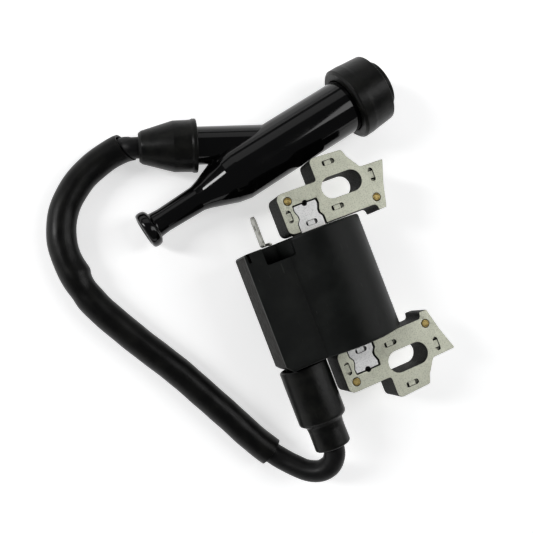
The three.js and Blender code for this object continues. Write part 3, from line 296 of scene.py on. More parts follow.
class Shape:
    """A closed surface put together from grids and flat fills."""

    def __init__(self) -> None:
        """Start with no points and no faces."""
        self.points: list[Points] = []
        self.faces: list[list[int]] = []
        self.uvs: list[Points] = []
        self.count = 0

    def add_grid(self, grid: Points, wrap: bool = True, along: Points | None = None) -> "Shape":
        """Add a grid of points joined by four-sided faces.

        Args:
            grid: Points, (rows, columns, 3).
            wrap: Whether the last column joins the first.
            along: A length for each row, kept as the second UV coordinate.

        Returns:
            The shape itself.
        """
        rows, columns = grid.shape[:2]
        row = np.arange(rows - 1)[:, None]
        column = np.arange(columns if wrap else columns - 1)[None, :]
        beside = (column + 1) % columns
        quads = [row * columns + column, row * columns + beside]
        quads += [(row + 1) * columns + beside, (row + 1) * columns + column]
        self.faces += (np.stack(quads, axis=-1).reshape(-1, 4) + self.count).tolist()
        rise = np.arange(rows, dtype=float) if along is None else along
        u = np.stack(np.broadcast_arrays(column, column + 1, column + 1, column), axis=-1) / columns
        v = np.stack([rise[:-1], rise[:-1], rise[1:], rise[1:]], axis=-1)[:, None, :]
        u, v = np.broadcast_arrays(u, v)
        self.uvs.append(np.stack([u, v], axis=-1).reshape(-1, 2))
        self.points.append(grid.reshape(-1, 3))
        self.count += rows * columns
        return self

    def add_fill(self, loops: Sequence[Points]) -> "Shape":
        """Close a flat outline, with holes for the loops after the first.

        Args:
            loops: Closed loops of points, each (n, 3).

        Returns:
            The shape itself.
        """
        triangles = tessellate_polygon([[Vector(point) for point in loop] for loop in loops])
        corners = np.array(triangles, int) + self.count
        self.faces += corners.tolist()
        self.uvs.append(np.zeros((corners.size, 2)))
        self.points.append(np.vstack(loops))
        self.count += sum(len(loop) for loop in loops)
        return self

    def finished(self, name: str, sharp_above: float = 32.0) -> Piece:
        """Make the object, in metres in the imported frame, with its object at the origin.

        Args:
            name: The piece's name.
            sharp_above: Edges that turn more than this many degrees stay sharp.

        Returns:
            The new object.
        """
        mesh = bpy.data.meshes.new(name)
        spots = (np.vstack(self.points) + ORIGIN) * MM
        mesh.from_pydata(spots.tolist(), [], self.faces)
        layer = mesh.uv_layers.new(name="UVMap")
        layer.data.foreach_set("uv", np.vstack(self.uvs).ravel())
        merge_and_face_out(mesh)
        piece = bpy.data.objects.new(name, mesh)
        bpy.context.scene.collection.objects.link(piece)
        smooth(piece, sharp_above)
        return piece


def merge_and_face_out(mesh: bpy.types.Mesh) -> None:
    """Merge a mesh's doubled points, drop faces without area and turn the rest outwards.

    Args:
        mesh: The mesh, changed in place.
    """
    work = bmesh.new()
    work.from_mesh(mesh)
    bmesh.ops.remove_doubles(work, verts=work.verts, dist=DOUBLED)
    bmesh.ops.dissolve_degenerate(work, dist=NO_LENGTH, edges=work.edges)
    bmesh.ops.recalc_face_normals(work, faces=work.faces)
    work.to_mesh(mesh)
    work.free()


def smooth(piece: Piece, sharp_above: float) -> None:
    """Shade a piece smooth, except across edges that turn more than the given degrees."""
    piece.data.shade_smooth()
    piece.data.set_sharp_from_angle(angle=math.radians(sharp_above))


def apply_modifiers(piece: Piece) -> None:
    """Put the result of a piece's modifiers into its mesh.

    Args:
        piece: The piece, which keeps its name and loses its modifiers.
    """
    bpy.context.view_layer.update()
    evaluated = piece.evaluated_get(bpy.context.evaluated_depsgraph_get())
    mesh = bpy.data.meshes.new_from_object(evaluated)
    piece.modifiers.clear()
    old = piece.data
    piece.data = mesh
    bpy.data.meshes.remove(old)
    mesh.name = piece.name


def combined(piece: Piece, how: Joining, *others: Piece) -> Piece:
    """Combine other closed pieces with a piece, one after the other, and remove them.

    Args:
        piece: The piece that stays.
        how: The way in which they are combined.
        others: The pieces that are used up.

    Returns:
        The piece.
    """
    for other in others:
        step = piece.modifiers.new("combined", "BOOLEAN")
        step.operation = how.value
        step.solver = "MANIFOLD"
        step.object = other
        apply_modifiers(piece)
        bpy.data.objects.remove(other)
    return piece


def softened(piece: Piece, width: float, above: float = 40.0, segments: int = 2) -> None:
    """Round a piece's edges.

    Args:
        piece: The piece.
        width: How far the rounding reaches from each edge, in millimetres.
        above: Only edges that turn more than this many degrees are rounded.
        segments: Spans of the rounding.
    """
    edge = piece.modifiers.new("soft_edges", "BEVEL")
    edge.width = width * MM
    edge.segments = segments
    edge.limit_method = "ANGLE"
    edge.angle_limit = math.radians(above)
    edge.use_clamp_overlap = True
    apply_modifiers(piece)
    smooth(piece, above)


def weigh_normals(piece: Piece) -> None:
    """Let a piece's large flat faces keep their own shading up to their rounded edges.

    Args:
        piece: The piece.
    """
    weigh = piece.modifiers.new("weigh_normals", "WEIGHTED_NORMAL")
    weigh.mode = "FACE_AREA"
    weigh.keep_sharp = True
    apply_modifiers(piece)


def box_shape(low: Sequence[float], high: Sequence[float], radius: float = 0.0) -> Shape:
    """A block between two corners, its upright edges rounded.

    Args:
        low: Its lowest corner.
        high: Its highest corner.
        radius: Radius of its upright edges.

    Returns:
        The closed shape.
    """
    (x0, y0, z0), (x1, y1, z1) = low, high
    corners = [(x0, y0, radius), (x1, y0, radius), (x1, y1, radius), (x0, y1, radius)]
    loop = rounded_path(corners, 6, closed=True)
    return prism(loop, upright, [z0, z1], [0, 0])


def upright(loop: Points, z: float) -> Points:
    """Set an XY loop at a height."""
    return np.column_stack([loop, np.full(len(loop), z)])


def crosswise(loop: Points, y: float) -> Points:
    """Set an XZ loop at a place along Y."""
    return np.column_stack([loop[:, 0], np.full(len(loop), y), loop[:, 1]])


def prism(
    loop: Points,
    settle: Callable[[Points, float], Points],
    places: Sequence[float],
    insets: Sequence[float],
) -> Shape:
    """Carry a loop through places, shrunk by an inset at each, and close both ends.

    Args:
        loop: A counter-clockwise loop, (n, 2).
        settle: upright or crosswise.
        places: Where each ring lies along the prism.
        insets: How far each ring is shrunk.

    Returns:
        The closed shape.
    """
    rings = [settle(shrunk(loop, inset), place) for place, inset in zip(places, insets)]
    return Shape().add_grid(np.stack(rings)).add_fill([rings[0]]).add_fill([rings[-1]])


def rounded_ends(low: float, high: float, radius: float, steps: int = 5) -> tuple[Points, Points]:
    """Places and insets that round both ends of a prism by quarter circles.

    A quarter circle gives the place low + r (1 - sin q) and the inset r (1 - cos q).

    Args:
        low: The prism's lower end.
        high: Its upper end.
        radius: Radius of the rounded edge.
        steps: Spans of each quarter circle.

    Returns:
        The places along the prism and the inset at each.
    """
    angle = np.linspace(math.pi / 2, 0, steps + 1)
    start, inset = low + radius * (1 - np.sin(angle)), radius * (1 - np.cos(angle))
    end = high - radius * (1 - np.sin(angle[::-1]))
    return np.concatenate([start, end]), np.concatenate([inset, inset[::-1]])


# ------------------------------------------------------------------ finishes

WAVE_UNIT = 0.05  # a wave texture turns by 20 radians over one unit of its coordinates


class Finish(Protocol):
    """What every finish offers."""

    name: str

    def material(self) -> Material:
        """Build the material."""


class Graph:
    """A material's node tree, built by short calls."""

    def __init__(self, name: str) -> None:
        """Make the material and keep its shader.

        Args:
            name: The material's name.
        """
        self.material = bpy.data.materials.new(name)
        self.material.use_nodes = True
        self.tree = self.material.node_tree
        self.shader = self.tree.nodes["Principled BSDF"]

    def add(self, kind: str, inputs: dict | None = None, **settings: object) -> bpy.types.Node:
        """Add a node.

        Args:
            kind: The node's type without its ShaderNode prefix.
            inputs: Values or sockets for its inputs, by name or by number.
            settings: Its own properties.

        Returns:
            The node.
        """
        node = self.tree.nodes.new("ShaderNode" + kind)
        for key, value in settings.items():
            setattr(node, key, value)
        for key, value in (inputs or {}).items():
            self.feed(node.inputs[key], value)
        return node

    def feed(self, socket: Socket, value: object) -> None:
        """Link a socket to another one, or set its value.

        Args:
            socket: The input.
            value: Another node's output, or a plain value.
        """
        if isinstance(value, Socket):
            self.tree.links.new(value, socket)
        else:
            socket.default_value = value

    def shade(self, **inputs: object) -> None:
        """Set or link the shader's inputs; an underscore in a name stands for a space."""
        for key, value in inputs.items():
            self.feed(self.shader.inputs[key.replace("_", " ")], value)

    def place(self, stretch: Spot = (1, 1, 1), turn: Spot = (0, 0, 0)) -> Socket:
        """Object coordinates, scaled and turned.

        Args:
            stretch: Scale on each axis; a small one draws a pattern out along it.
            turn: Angles about the axes, in radians.

        Returns:
            The coordinates.
        """
        spot = self.add("TexCoord").outputs["Object"]
        inputs = {"Vector": spot, "Scale": stretch, "Rotation": turn}
        return self.add("Mapping", inputs).outputs["Vector"]

    def noise(self, spot: Socket, size: float, detail: float = 3, rough: float = 0.55) -> Socket:
        """Cloudy noise.

        Args:
            spot: The coordinates that it is read at.
            size: About how many millimetres its lumps are across.
            detail: Octaves of finer lumps.
            rough: Strength of each octave against the one before.

        Returns:
            A value of about 0.3 to 0.7.
        """
        inputs = {"Vector": spot, "Scale": 1 / (size * MM), "Detail": detail, "Roughness": rough}
        return self.add("TexNoise", inputs).outputs["Fac"]

    def bands(self, spot: Socket, half_pitch: float, axis: str, wobble: dict[str, float]) -> Socket:
        """Even light and dark bands across an axis.

        Args:
            spot: The coordinates that they are read at.
            half_pitch: Millimetres from the middle of a light band to the middle of the next dark one.
            axis: The axis that they follow each other along.
            wobble: Further inputs, which make them less even.

        Returns:
            A value from 0 to 1.
        """
        inputs = {"Vector": spot, "Scale": WAVE_UNIT / (half_pitch * MM) * math.pi, **wobble}
        return self.add("TexWave", inputs, bands_direction=axis).outputs["Fac"]

    def span(
        self, value: Socket, low: float, high: float, to_low: float = 0, to_high: float = 1
    ) -> Socket:
        """Map a range of a value smoothly to another.

        Args:
            value: The value.
            low: Where its range starts.
            high: Where its range ends.
            to_low: The result at and before the start.
            to_high: The result at and after the end.

        Returns:
            The result.
        """
        inputs = {"Value": value, "From Min": low, "From Max": high}
        inputs |= {"To Min": to_low, "To Max": to_high}
        return self.add("MapRange", inputs, interpolation_type="SMOOTHSTEP").outputs["Result"]

    def sum(self, how: str, first: object, second: object) -> Socket:
        """A sum, product or other simple result of two numbers."""
        return self.add("Math", {0: first, 1: second}, operation=how).outputs[0]

    def mix(self, share: object, first: object, second: object) -> Socket:
        """A colour between two colours.

        Args:
            share: 0 for the first, 1 for the second.
            first: A colour or a socket.
            second: A colour or a socket.

        Returns:
            The mixed colour.
        """
        node = self.add("Mix", data_type="RGBA")
        self.feed(node.inputs["Factor"], share)
        for number, colour in ((6, first), (7, second)):
            self.feed(node.inputs[number], rgba(colour) if isinstance(colour, tuple) else colour)
        return node.outputs[2]

    def bump(self, height: Socket, depth: float, below: Socket | None = None) -> Socket:
        """A fine relief.

        Args:
            height: The value that gives its height.
            depth: Its full height in millimetres.
            below: Another relief that it is laid over.

        Returns:
            The bent normal.
        """
        inputs = {"Height": height, "Distance": depth * MM, "Strength": 1.0}
        if below is not None:
            inputs["Normal"] = below
        return self.add("Bump", inputs).outputs["Normal"]


def rgba(colour: Sequence[float]) -> tuple[float, float, float, float]:
    """A colour with full alpha."""
    return (*colour[:3], 1.0)


@dataclass(frozen=True)
class Moulded:
    """A moulded or extruded plastic or rubber: mottled tone, eroded grain, faint scuffs, optional
    painted shade in crevices.
    """

    name: str
    colour: Colour
    worn: Colour
    roughness: float
    grain: float = 0.25
    grain_depth: float = 0.01
    mottle: float = 6.0
    scuffs: float = 0.3
    coat: float = 0.0
    specular: float = 0.5
    # Reach in millimetres of painted shade that darkens colour and gloss in crevices and recesses; 0
    # for none.
    painted_crevice_shade: float = 0.0

    def material(self) -> Material:
        """Build the material.

        Returns:
            The material.
        """
        g = Graph(self.name)
        spot = g.place()
        cloud = g.noise(spot, self.mottle, 4)
        grain = g.noise(spot, self.grain, 2)
        scuff = g.noise(g.place((1, 0.12, 1), (0.3, 0.2, 0.7)), 0.5, 2, 0.4)
        marks = g.sum("MULTIPLY", g.span(scuff, 0.66, 0.74), g.span(g.noise(spot, 9.0, 2), 0.5, 0.62))
        worn = g.sum("MULTIPLY", marks, self.scuffs)
        share = g.sum("ADD", g.span(cloud, 0.35, 0.75, 0, 0.35), worn)
        colour, gloss = g.mix(share, self.colour, self.worn), self.specular
        # Painted shade: where ambient occlusion finds other surfaces within this reach, the colour is
        # darkened towards a fifth of itself and the gloss is cut with it.
        if self.painted_crevice_shade:
            near = {"Distance": self.painted_crevice_shade * MM}
            open_sky = g.add("AmbientOcclusion", near, samples=8).outputs["AO"]
            bare = g.span(open_sky, 0.45, 0.95)
            colour = g.mix(bare, tuple(0.2 * c for c in self.colour), colour)
            gloss = g.sum("MULTIPLY", bare, self.specular)
        g.shade(Base_Color=colour)
        rough = g.span(g.sum("ADD", cloud, g.sum("MULTIPLY", grain, 0.4)), 0.4, 1.0, -0.05, 0.06)
        g.shade(Roughness=g.sum("ADD", rough, self.roughness))
        lumps = g.bump(g.noise(spot, self.mottle * 0.6, 2), self.grain_depth * 4)
        g.shade(Normal=g.bump(grain, self.grain_depth, lumps))
        g.shade(Coat_Weight=self.coat, Coat_Roughness=0.06, Specular_IOR_Level=gloss)
        return g.material


@dataclass(frozen=True)
class Extruded:
    """A drawn jacket: fine lengthwise lines and a mottled bloom, laid along the piece's UV map."""

    name: str
    colour: Colour
    worn: Colour
    roughness: float
    girth: float
    line_depth: float = 0.012
    line_squeeze: float = 0.06

    def material(self) -> Material:
        """Build the material; u runs once round the piece and v is its length in millimetres.

        Returns:
            The material.
        """
        g = Graph(self.name)
        uv = g.add("TexCoord").outputs["UV"]
        stretch = (self.girth * MM, self.line_squeeze * MM, 1)
        laid = g.add("Mapping", {"Vector": uv, "Scale": stretch}).outputs["Vector"]
        lines = g.noise(laid, 0.35, 2)
        spot = g.place()
        cloud = g.noise(spot, 5.0, 4)
        dust = g.span(g.noise(spot, 0.35, 2), 0.66, 0.75)
        share = g.sum("ADD", g.span(cloud, 0.4, 0.8, 0, 0.5), g.sum("MULTIPLY", dust, 0.25))
        g.shade(Base_Color=g.mix(share, self.colour, self.worn))
        low, high = self.roughness - 0.07, self.roughness + 0.08
        g.shade(Roughness=g.span(g.sum("ADD", cloud, lines), 0.6, 1.4, low, high))
        lumps = g.bump(g.noise(spot, 3.0, 2), self.line_depth * 3)
        g.shade(Normal=g.bump(lines, self.line_depth, lumps), Specular_IOR_Level=0.17)
        return g.material


@dataclass(frozen=True)
class StackedSteel:
    """Riveted electrical steel: speckled ground faces and dark sheared edges with fine lines."""

    name: str
    face: Colour
    speck: Colour
    edge: Colour
    speck_size: float
    roughness: float
    sheet: float = 0.5

    def material(self) -> Material:
        """Build the material; faces are told from edges by the surface's own direction.

        Returns:
            The material.
        """
        g = Graph(self.name)
        coordinates = g.add("TexCoord")
        spot = coordinates.outputs["Object"]
        up = g.add("SeparateXYZ", {"Vector": coordinates.outputs["Normal"]}).outputs["Z"]
        is_face = g.span(g.sum("ABSOLUTE", up, 0), 0.75, 0.95)
        brushed = g.noise(g.place((1, 0.05, 1), (0, 0, 0.55)), 0.22, 3, 0.6)
        specks = g.noise(spot, self.speck_size, 2, 0.7)
        cloud = g.noise(spot, 7.0, 3)
        share = g.sum("ADD", g.span(specks, 0.5, 0.68, 0, 0.65), g.span(brushed, 0.5, 0.8, 0, 0.35))
        share = g.sum("ADD", share, g.span(cloud, 0.45, 0.8, 0, 0.25))
        flat = g.mix(share, self.face, self.speck)
        wobble = {"Distortion": 0.4, "Detail": 2.0, "Detail Scale": 8.0}
        line = g.bands(spot, self.sheet, "Z", wobble)
        bare, burnt = (tuple(share * c for c in self.edge) for share in (2.2, 0.25))
        sheared = g.mix(g.span(g.noise(spot, 1.2, 3), 0.35, 0.8, 0, 0.8), self.edge, bare)
        sheared = g.mix(g.span(line, 0.75, 1.0, 0, 0.7), sheared, burnt)
        g.shade(Base_Color=g.mix(is_face, sheared, flat))
        g.shade(Metallic=g.span(is_face, 0, 1, 0.2, 0.4), Specular_IOR_Level=0.2)
        low, high = self.roughness - 0.06, self.roughness + 0.1
        rough = g.span(g.sum("ADD", brushed, specks), 0.7, 1.3, low, high)
        g.shade(Roughness=g.sum("ADD", rough, g.span(is_face, 0, 1, 0.2, 0)))
        g.shade(Normal=g.bump(specks, 0.006, g.bump(brushed, 0.006)))
        return g.material


@dataclass(frozen=True)
class Metal:
    """A bright or dull metal with drawn lines and small dents."""

    name: str
    colour: Colour
    stain: Colour
    roughness: float
    line: float = 0.2

    def material(self) -> Material:
        """Build the material.

        Returns:
            The material.
        """
        g = Graph(self.name)
        spot = g.place()
        drawn = g.noise(g.place((1, 0.08, 1), (0, 0, 0.35)), self.line, 3)
        cloud = g.noise(spot, 1.4, 3)
        share = g.sum("ADD", g.span(cloud, 0.45, 0.75, 0, 0.7), g.span(drawn, 0.55, 0.8, 0, 0.3))
        g.shade(Base_Color=g.mix(share, self.colour, self.stain), Metallic=0.95)
        low, high = self.roughness - 0.08, self.roughness + 0.12
        g.shade(Roughness=g.span(g.sum("ADD", drawn, cloud), 0.7, 1.3, low, high))
        g.shade(Normal=g.bump(cloud, 0.008, g.bump(drawn, 0.004)))
        return g.material


@dataclass(frozen=True)
class Wound:
    """Enamelled wire laid turn by turn along the coil's axis."""

    name: str
    colour: Colour
    dark: Colour
    wire: float

    def material(self) -> Material:
        """Build the material.

        Returns:
            The material.
        """
        g = Graph(self.name)
        spot = g.place()
        line = g.bands(spot, self.wire, "Y", {"Distortion": 0.3})
        g.shade(Base_Color=g.mix(g.span(line, 0.1, 0.6), self.dark, self.colour), Metallic=0.8)
        g.shade(Roughness=g.span(g.noise(spot, 2.0), 0.3, 0.7, 0.22, 0.38))
        g.shade(Normal=g.bump(line, self.wire * 0.3), Coat_Weight=0.6, Coat_Roughness=0.15)
        return g.material


@dataclass(frozen=True)
class Lacquered:
    """A circuit board: green lacquer over copper tracks and a woven glass ground."""

    name: str
    lacquer: Colour
    track: Colour
    pitch: float = 3.2

    def material(self) -> Material:
        """Build the material.

        Returns:
            The material.
        """
        g = Graph(self.name)
        spot = g.place()
        inputs = {"Vector": spot, "Scale": 1 / (self.pitch * MM)}
        cells = g.add("TexVoronoi", inputs, feature="DISTANCE_TO_EDGE", distance="MANHATTAN")
        tracks = g.span(cells.outputs["Distance"], 0.08, 0.11)
        weave = g.noise(spot, 0.4, 2)
        g.shade(Base_Color=g.mix(tracks, self.track, self.lacquer), Roughness=0.35)
        g.shade(Normal=g.bump(tracks, -0.03, g.bump(weave, 0.01)), Coat_Weight=0.4, Coat_Roughness=0.2)
        return g.material


# Its crevice reach paints shade into the pocket and other recesses, darkening colour and gloss there.
CASE_PLASTIC = Moulded(
    "case_plastic", (0.0048, 0.0056, 0.0052), (0.017, 0.019, 0.017), roughness=0.44, grain=0.3,
    grain_depth=0.012, mottle=7.0, scuffs=0.9, specular=0.12, painted_crevice_shade=5.0,
)
EPOXY = Moulded(
    "epoxy", (0.0045, 0.0041, 0.0026), (0.014, 0.0125, 0.008), roughness=0.6, grain=0.5,
    grain_depth=0.05, mottle=2.5, scuffs=0.6, specular=0.1,
)
NYLON = Moulded(
    "bobbin_plastic", (0.62, 0.56, 0.45), (0.78, 0.73, 0.62), roughness=0.45, grain=0.3,
    grain_depth=0.01, mottle=4.0, scuffs=0.2,
)
PACKAGE = Moulded(
    "chip_package", (0.016, 0.016, 0.018), (0.05, 0.05, 0.05), roughness=0.5, grain=0.15,
    grain_depth=0.008, mottle=2.0, scuffs=0.2,
)
CERAMIC = Moulded(
    "fired_ceramic", (0.55, 0.42, 0.28), (0.70, 0.58, 0.42), roughness=0.4, grain=0.2,
    grain_depth=0.008, mottle=1.5, scuffs=0.3,
)
# Its crevice reach paints shade into creases and recesses, darkening colour and gloss there.
RUBBER = Moulded(
    "moulded_rubber", (0.0028, 0.0030, 0.0028), (0.015, 0.015, 0.012), roughness=0.34, grain=0.35,
    grain_depth=0.02, mottle=4.0, scuffs=0.9, specular=0.16, painted_crevice_shade=2.0,
)
PHENOLIC = Moulded(
    "cap_phenolic", (0.0012, 0.0012, 0.0013), (0.003, 0.003, 0.003), roughness=0.10, grain=0.6,
    grain_depth=0.0012, mottle=9.0, scuffs=0.3, coat=0.2, specular=0.22,
)
LEAD_PVC = Extruded(
    "lead_pvc", (0.0042, 0.0042, 0.0044), (0.012, 0.012, 0.012), roughness=0.42, girth=22.0
)
SLEEVE_PVC = Extruded(
    "sleeve_pvc", (0.0024, 0.0024, 0.0023), (0.010, 0.010, 0.008), roughness=0.36, girth=30.0,
    line_depth=0.02,
)
LEG_STEEL = StackedSteel(
    "core_steel", face=(0.60, 0.61, 0.50), speck=(0.30, 0.31, 0.245), edge=(0.010, 0.0105, 0.009),
    speck_size=0.38, roughness=0.42,
)
BAR_STEEL = StackedSteel(
    "bar_steel", face=(0.86, 0.86, 0.85), speck=(0.55, 0.55, 0.55), edge=(0.03, 0.03, 0.03),
    speck_size=0.45, roughness=0.5,
)
RIVET_BRASS = Metal("rivet_brass", (0.42, 0.32, 0.12), (0.20, 0.15, 0.06), roughness=0.42)
CONTACT_BRASS = Metal("contact_brass", (0.70, 0.52, 0.24), (0.45, 0.32, 0.14), roughness=0.3)
TINPLATE = Metal("tinned_steel", (0.42, 0.42, 0.38), (0.16, 0.16, 0.14), roughness=0.36, line=0.3)
WINDING = Wound("enamelled_wire", (0.66, 0.26, 0.10), (0.20, 0.06, 0.02), wire=0.35)
STRAND = Wound("copper_strand", (0.70, 0.33, 0.16), (0.25, 0.10, 0.04), wire=0.6)
BOARD = Lacquered("board_lacquer", (0.012, 0.075, 0.03), (0.05, 0.16, 0.05))


class Wardrobe:
    """Builds each finish once and puts it on pieces and CAD nodes."""

    def __init__(self) -> None:
        """Start with no materials."""
        self.made: dict[str, Material] = {}

    def material(self, finish: Finish) -> Material:
        """The finish's material, built when first asked for.

        Args:
            finish: The finish.

        Returns:
            Its one material.
        """
        if finish.name not in self.made:
            self.made[finish.name] = finish.material()
        return self.made[finish.name]

    def dress(self, piece: Piece, finish: Finish, body: Body, slot: str, *nodes: str) -> Piece:
        """Give a new piece its finish and body, and let it stand for CAD nodes.

        Args:
            piece: The piece.
            finish: Its finish.
            body: The body that it rides on.
            slot: The record's material slot; not used.
            nodes: The CAD nodes that it replaces.

        Returns:
            The piece.
        """
        piece.data.materials.clear()
        piece.data.materials.append(self.material(finish))
        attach(piece, body.value)
        if nodes:
            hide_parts(*nodes)
        LOG.info("%s: %d faces, rides on %s", piece.name, len(piece.data.polygons), body.value)
        return piece

    def dress_node(self, node: str, finish: Finish) -> None:
        """Give a CAD node a finish.

        Args:
            node: The node's name.
            finish: The finish.
        """
        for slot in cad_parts[node].material_slots:
            slot.material = self.material(finish)
        LOG.info("%s: CAD node with finish %s", node, finish.name)


WARDROBE = Wardrobe()


# ------------------------------------------------------------------ studio


@dataclass(frozen=True)
class Softbox:
    """One rectangular light: where it hangs, what it points at, its size in metres and its power."""

    name: str
    place: Spot
    aim: Spot
    size: tuple[float, float]
    power: float

    def build(self) -> None:
        """Hang the light."""
        lamp = bpy.data.lights.new(self.name, "AREA")
        lamp.shape = "RECTANGLE"
        lamp.size, lamp.size_y = self.size
        lamp.energy = self.power
        holder = bpy.data.objects.new(self.name, lamp)
        direction = Vector(self.aim) - Vector(self.place)
        holder.location = self.place
        holder.rotation_euler = direction.to_track_quat("-Z", "Y").to_euler()
        bpy.context.scene.collection.objects.link(holder)


@dataclass
class Studio:
    """A pale floor, soft light and a camera that looks down on the coil from its box's side."""

    camera_place: Spot = (-0.07555, 0.01692, 0.24678)
    view: Spot = (0.2351, 0.0004, -0.9720)
    camera_up: Spot = (0.3483, 0.9336, 0.0847)
    lens: float = 50.0
    floor_radius: float = 3.0
    sweep: float = 0.5
    wall_height: float = 0.75
    floor_glow: float = 0.54
    sensor_width: float = 36.0
    nearest: float = 0.01
    sky_colour: Colour = (0.95, 0.97, 1.0)
    sky_strength: float = 0.12
    lights: tuple[Softbox, ...] = (
        Softbox("key_from_poles", (0.68, -0.05, 0.72), (0.0, 0.0, 0.0), (0.4, 0.9), 3.8),
        Softbox("fill_from_box", (-0.75, 0.45, 0.6), (-0.03, 0.0, 0.0), (0.16, 0.45), 4.6),
        Softbox("back_from_cap", (0.05, 0.95, 0.75), (0.0, 0.0, 0.0), (1.2, 0.6), 1.6),
    )

    def build(self) -> None:
        """Build the camera, the floor, the lights and the sky."""
        self.build_camera()
        self.build_floor()
        for light in self.lights:
            light.build()
        world = bpy.data.worlds.new("studio")
        world.use_nodes = True
        sky = world.node_tree.nodes["Background"]
        sky.inputs["Color"].default_value = rgba(self.sky_colour)
        sky.inputs["Strength"].default_value = self.sky_strength
        bpy.context.scene.world = world
        bpy.context.scene.view_settings.view_transform = "Standard"
        LOG.info("studio: camera, floor and %d lights", len(self.lights))

    def build_camera(self) -> None:
        """Stand the camera at its place, level to the object as it is held."""
        lens = bpy.data.cameras.new("camera")
        lens.lens = self.lens
        lens.sensor_width = self.sensor_width
        lens.clip_start = self.nearest
        holder = bpy.data.objects.new("camera", lens)
        back = -Vector(self.view).normalized()
        right = Vector(self.camera_up).cross(back).normalized()
        up = back.cross(right)
        turn = Matrix((right, up, back)).transposed().to_4x4()
        holder.matrix_world = Matrix.Translation(Vector(self.camera_place)) @ turn
        bpy.context.scene.collection.objects.link(holder)
        bpy.context.scene.camera = holder

    def build_floor(self) -> None:
        """Lay the floor, which sweeps up into a low pale wall all round, like a paper backdrop."""
        edge = self.floor_radius
        corners = [(0.0, 0.0), (edge, 0.0, self.sweep), (edge, self.wall_height)]
        profile = rounded_path(corners, 12) / MM
        rings = turned(profile, 96)[..., [1, 2, 0]] - ORIGIN
        floor = Shape().add_grid(rings).finished("floor", 60)
        g = Graph("pale_floor")
        cloud = g.span(g.noise(g.place(), 60.0, 2), 0.3, 0.7, 0.80, 0.84)
        g.shade(Base_Color=cloud, Roughness=0.9, Specular_IOR_Level=0.1)
        g.shade(Emission_Color=rgba((1.0, 1.0, 1.0)), Emission_Strength=self.floor_glow)
        floor.data.materials.append(g.material)


# ------------------------------------------------------------------ plug cap's frame


@dataclass(frozen=True)
class CapFrame:
    """The plug cap's own frame: X along its main tube towards the mouth, Z up from the floor."""

    junction: Spot = (-8.9, 50.1, 10.926)
    yaw: float = 12.3
    tilt: float = 4.0508
    branch_angle: float = 29.5
    junction_at: float = 56.4

    def turn(self) -> Points:
        """Rotation from the cap's frame to the design's: a tilt about Y, then a turn about Z."""
        yaw = Matrix.Rotation(math.radians(self.yaw), 3, "Z")
        return np.array(yaw @ Matrix.Rotation(-math.radians(self.tilt), 3, "Y"))

    def to_design(self, points: Points) -> Points:
        """Place points of the cap's frame in the design's."""
        return points @ self.turn().T + np.array(self.junction)

    def on_main(self, grid: Points) -> Points:
        """Place a turned grid on the main axis; its distances count from the handle's end."""
        return self.to_design(grid - np.array([self.junction_at, 0, 0]))

    def branch_turn(self) -> Points:
        """Rotation of the branch's axis within the cap's frame."""
        return np.array(Matrix.Rotation(math.radians(180 - self.branch_angle), 3, "Z"))

    def on_branch(self, grid: Points) -> Points:
        """Place a turned grid on the branch's axis; its distances count from the junction."""
        return self.to_design(grid @ self.branch_turn().T)


CAP = CapFrame()


# ------------------------------------------------------------------ lead


@dataclass(frozen=True)
class Slack:
    """How the loose sleeve buckles on the inside of its tightest bend, in millimetres."""

    share_at: float = 0.625  # of the sleeve's length, from the tower
    fold: float = 0.6
    fold_before: float = 1.6
    fold_after: float = 3.2
    pinch: float = 0.3
    pinch_before: float = 5.5
    pinch_reach: float = 2.4
    ripple: float = 0.06
    ripple_length: float = 1.9
    ripple_reach: float = 22.0

    def swell(self, far: Points, inner_side: Points) -> Points:
        """Work out how far the sleeve's wall leaves its round form.

        The fold is a bell that is steeper on the tower's side, the pinch before it is a bell
        inwards that goes nearly all round, and the ripple is a sine that dies away as a bell.

        Args:
            far: Distance along the sleeve past the fold, (n, 1).
            inner_side: 1 on the inside of the bend and 0 on its outside, (1, sides).

        Returns:
            The change of radius, (n, sides).
        """
        slope = np.where(far > 0, self.fold_after, self.fold_before)
        fold = self.fold * np.exp(-((far / slope) ** 2)) * inner_side
        narrow = np.exp(-(((far + self.pinch_before) / self.pinch_reach) ** 2))
        pinch = -self.pinch * narrow * (1 - inner_side * 0.4)
        fading = np.exp(-((far / self.ripple_reach) ** 2))
        ripple = self.ripple * np.sin(far / self.ripple_length) * fading * inner_side
        return fold + pinch + ripple


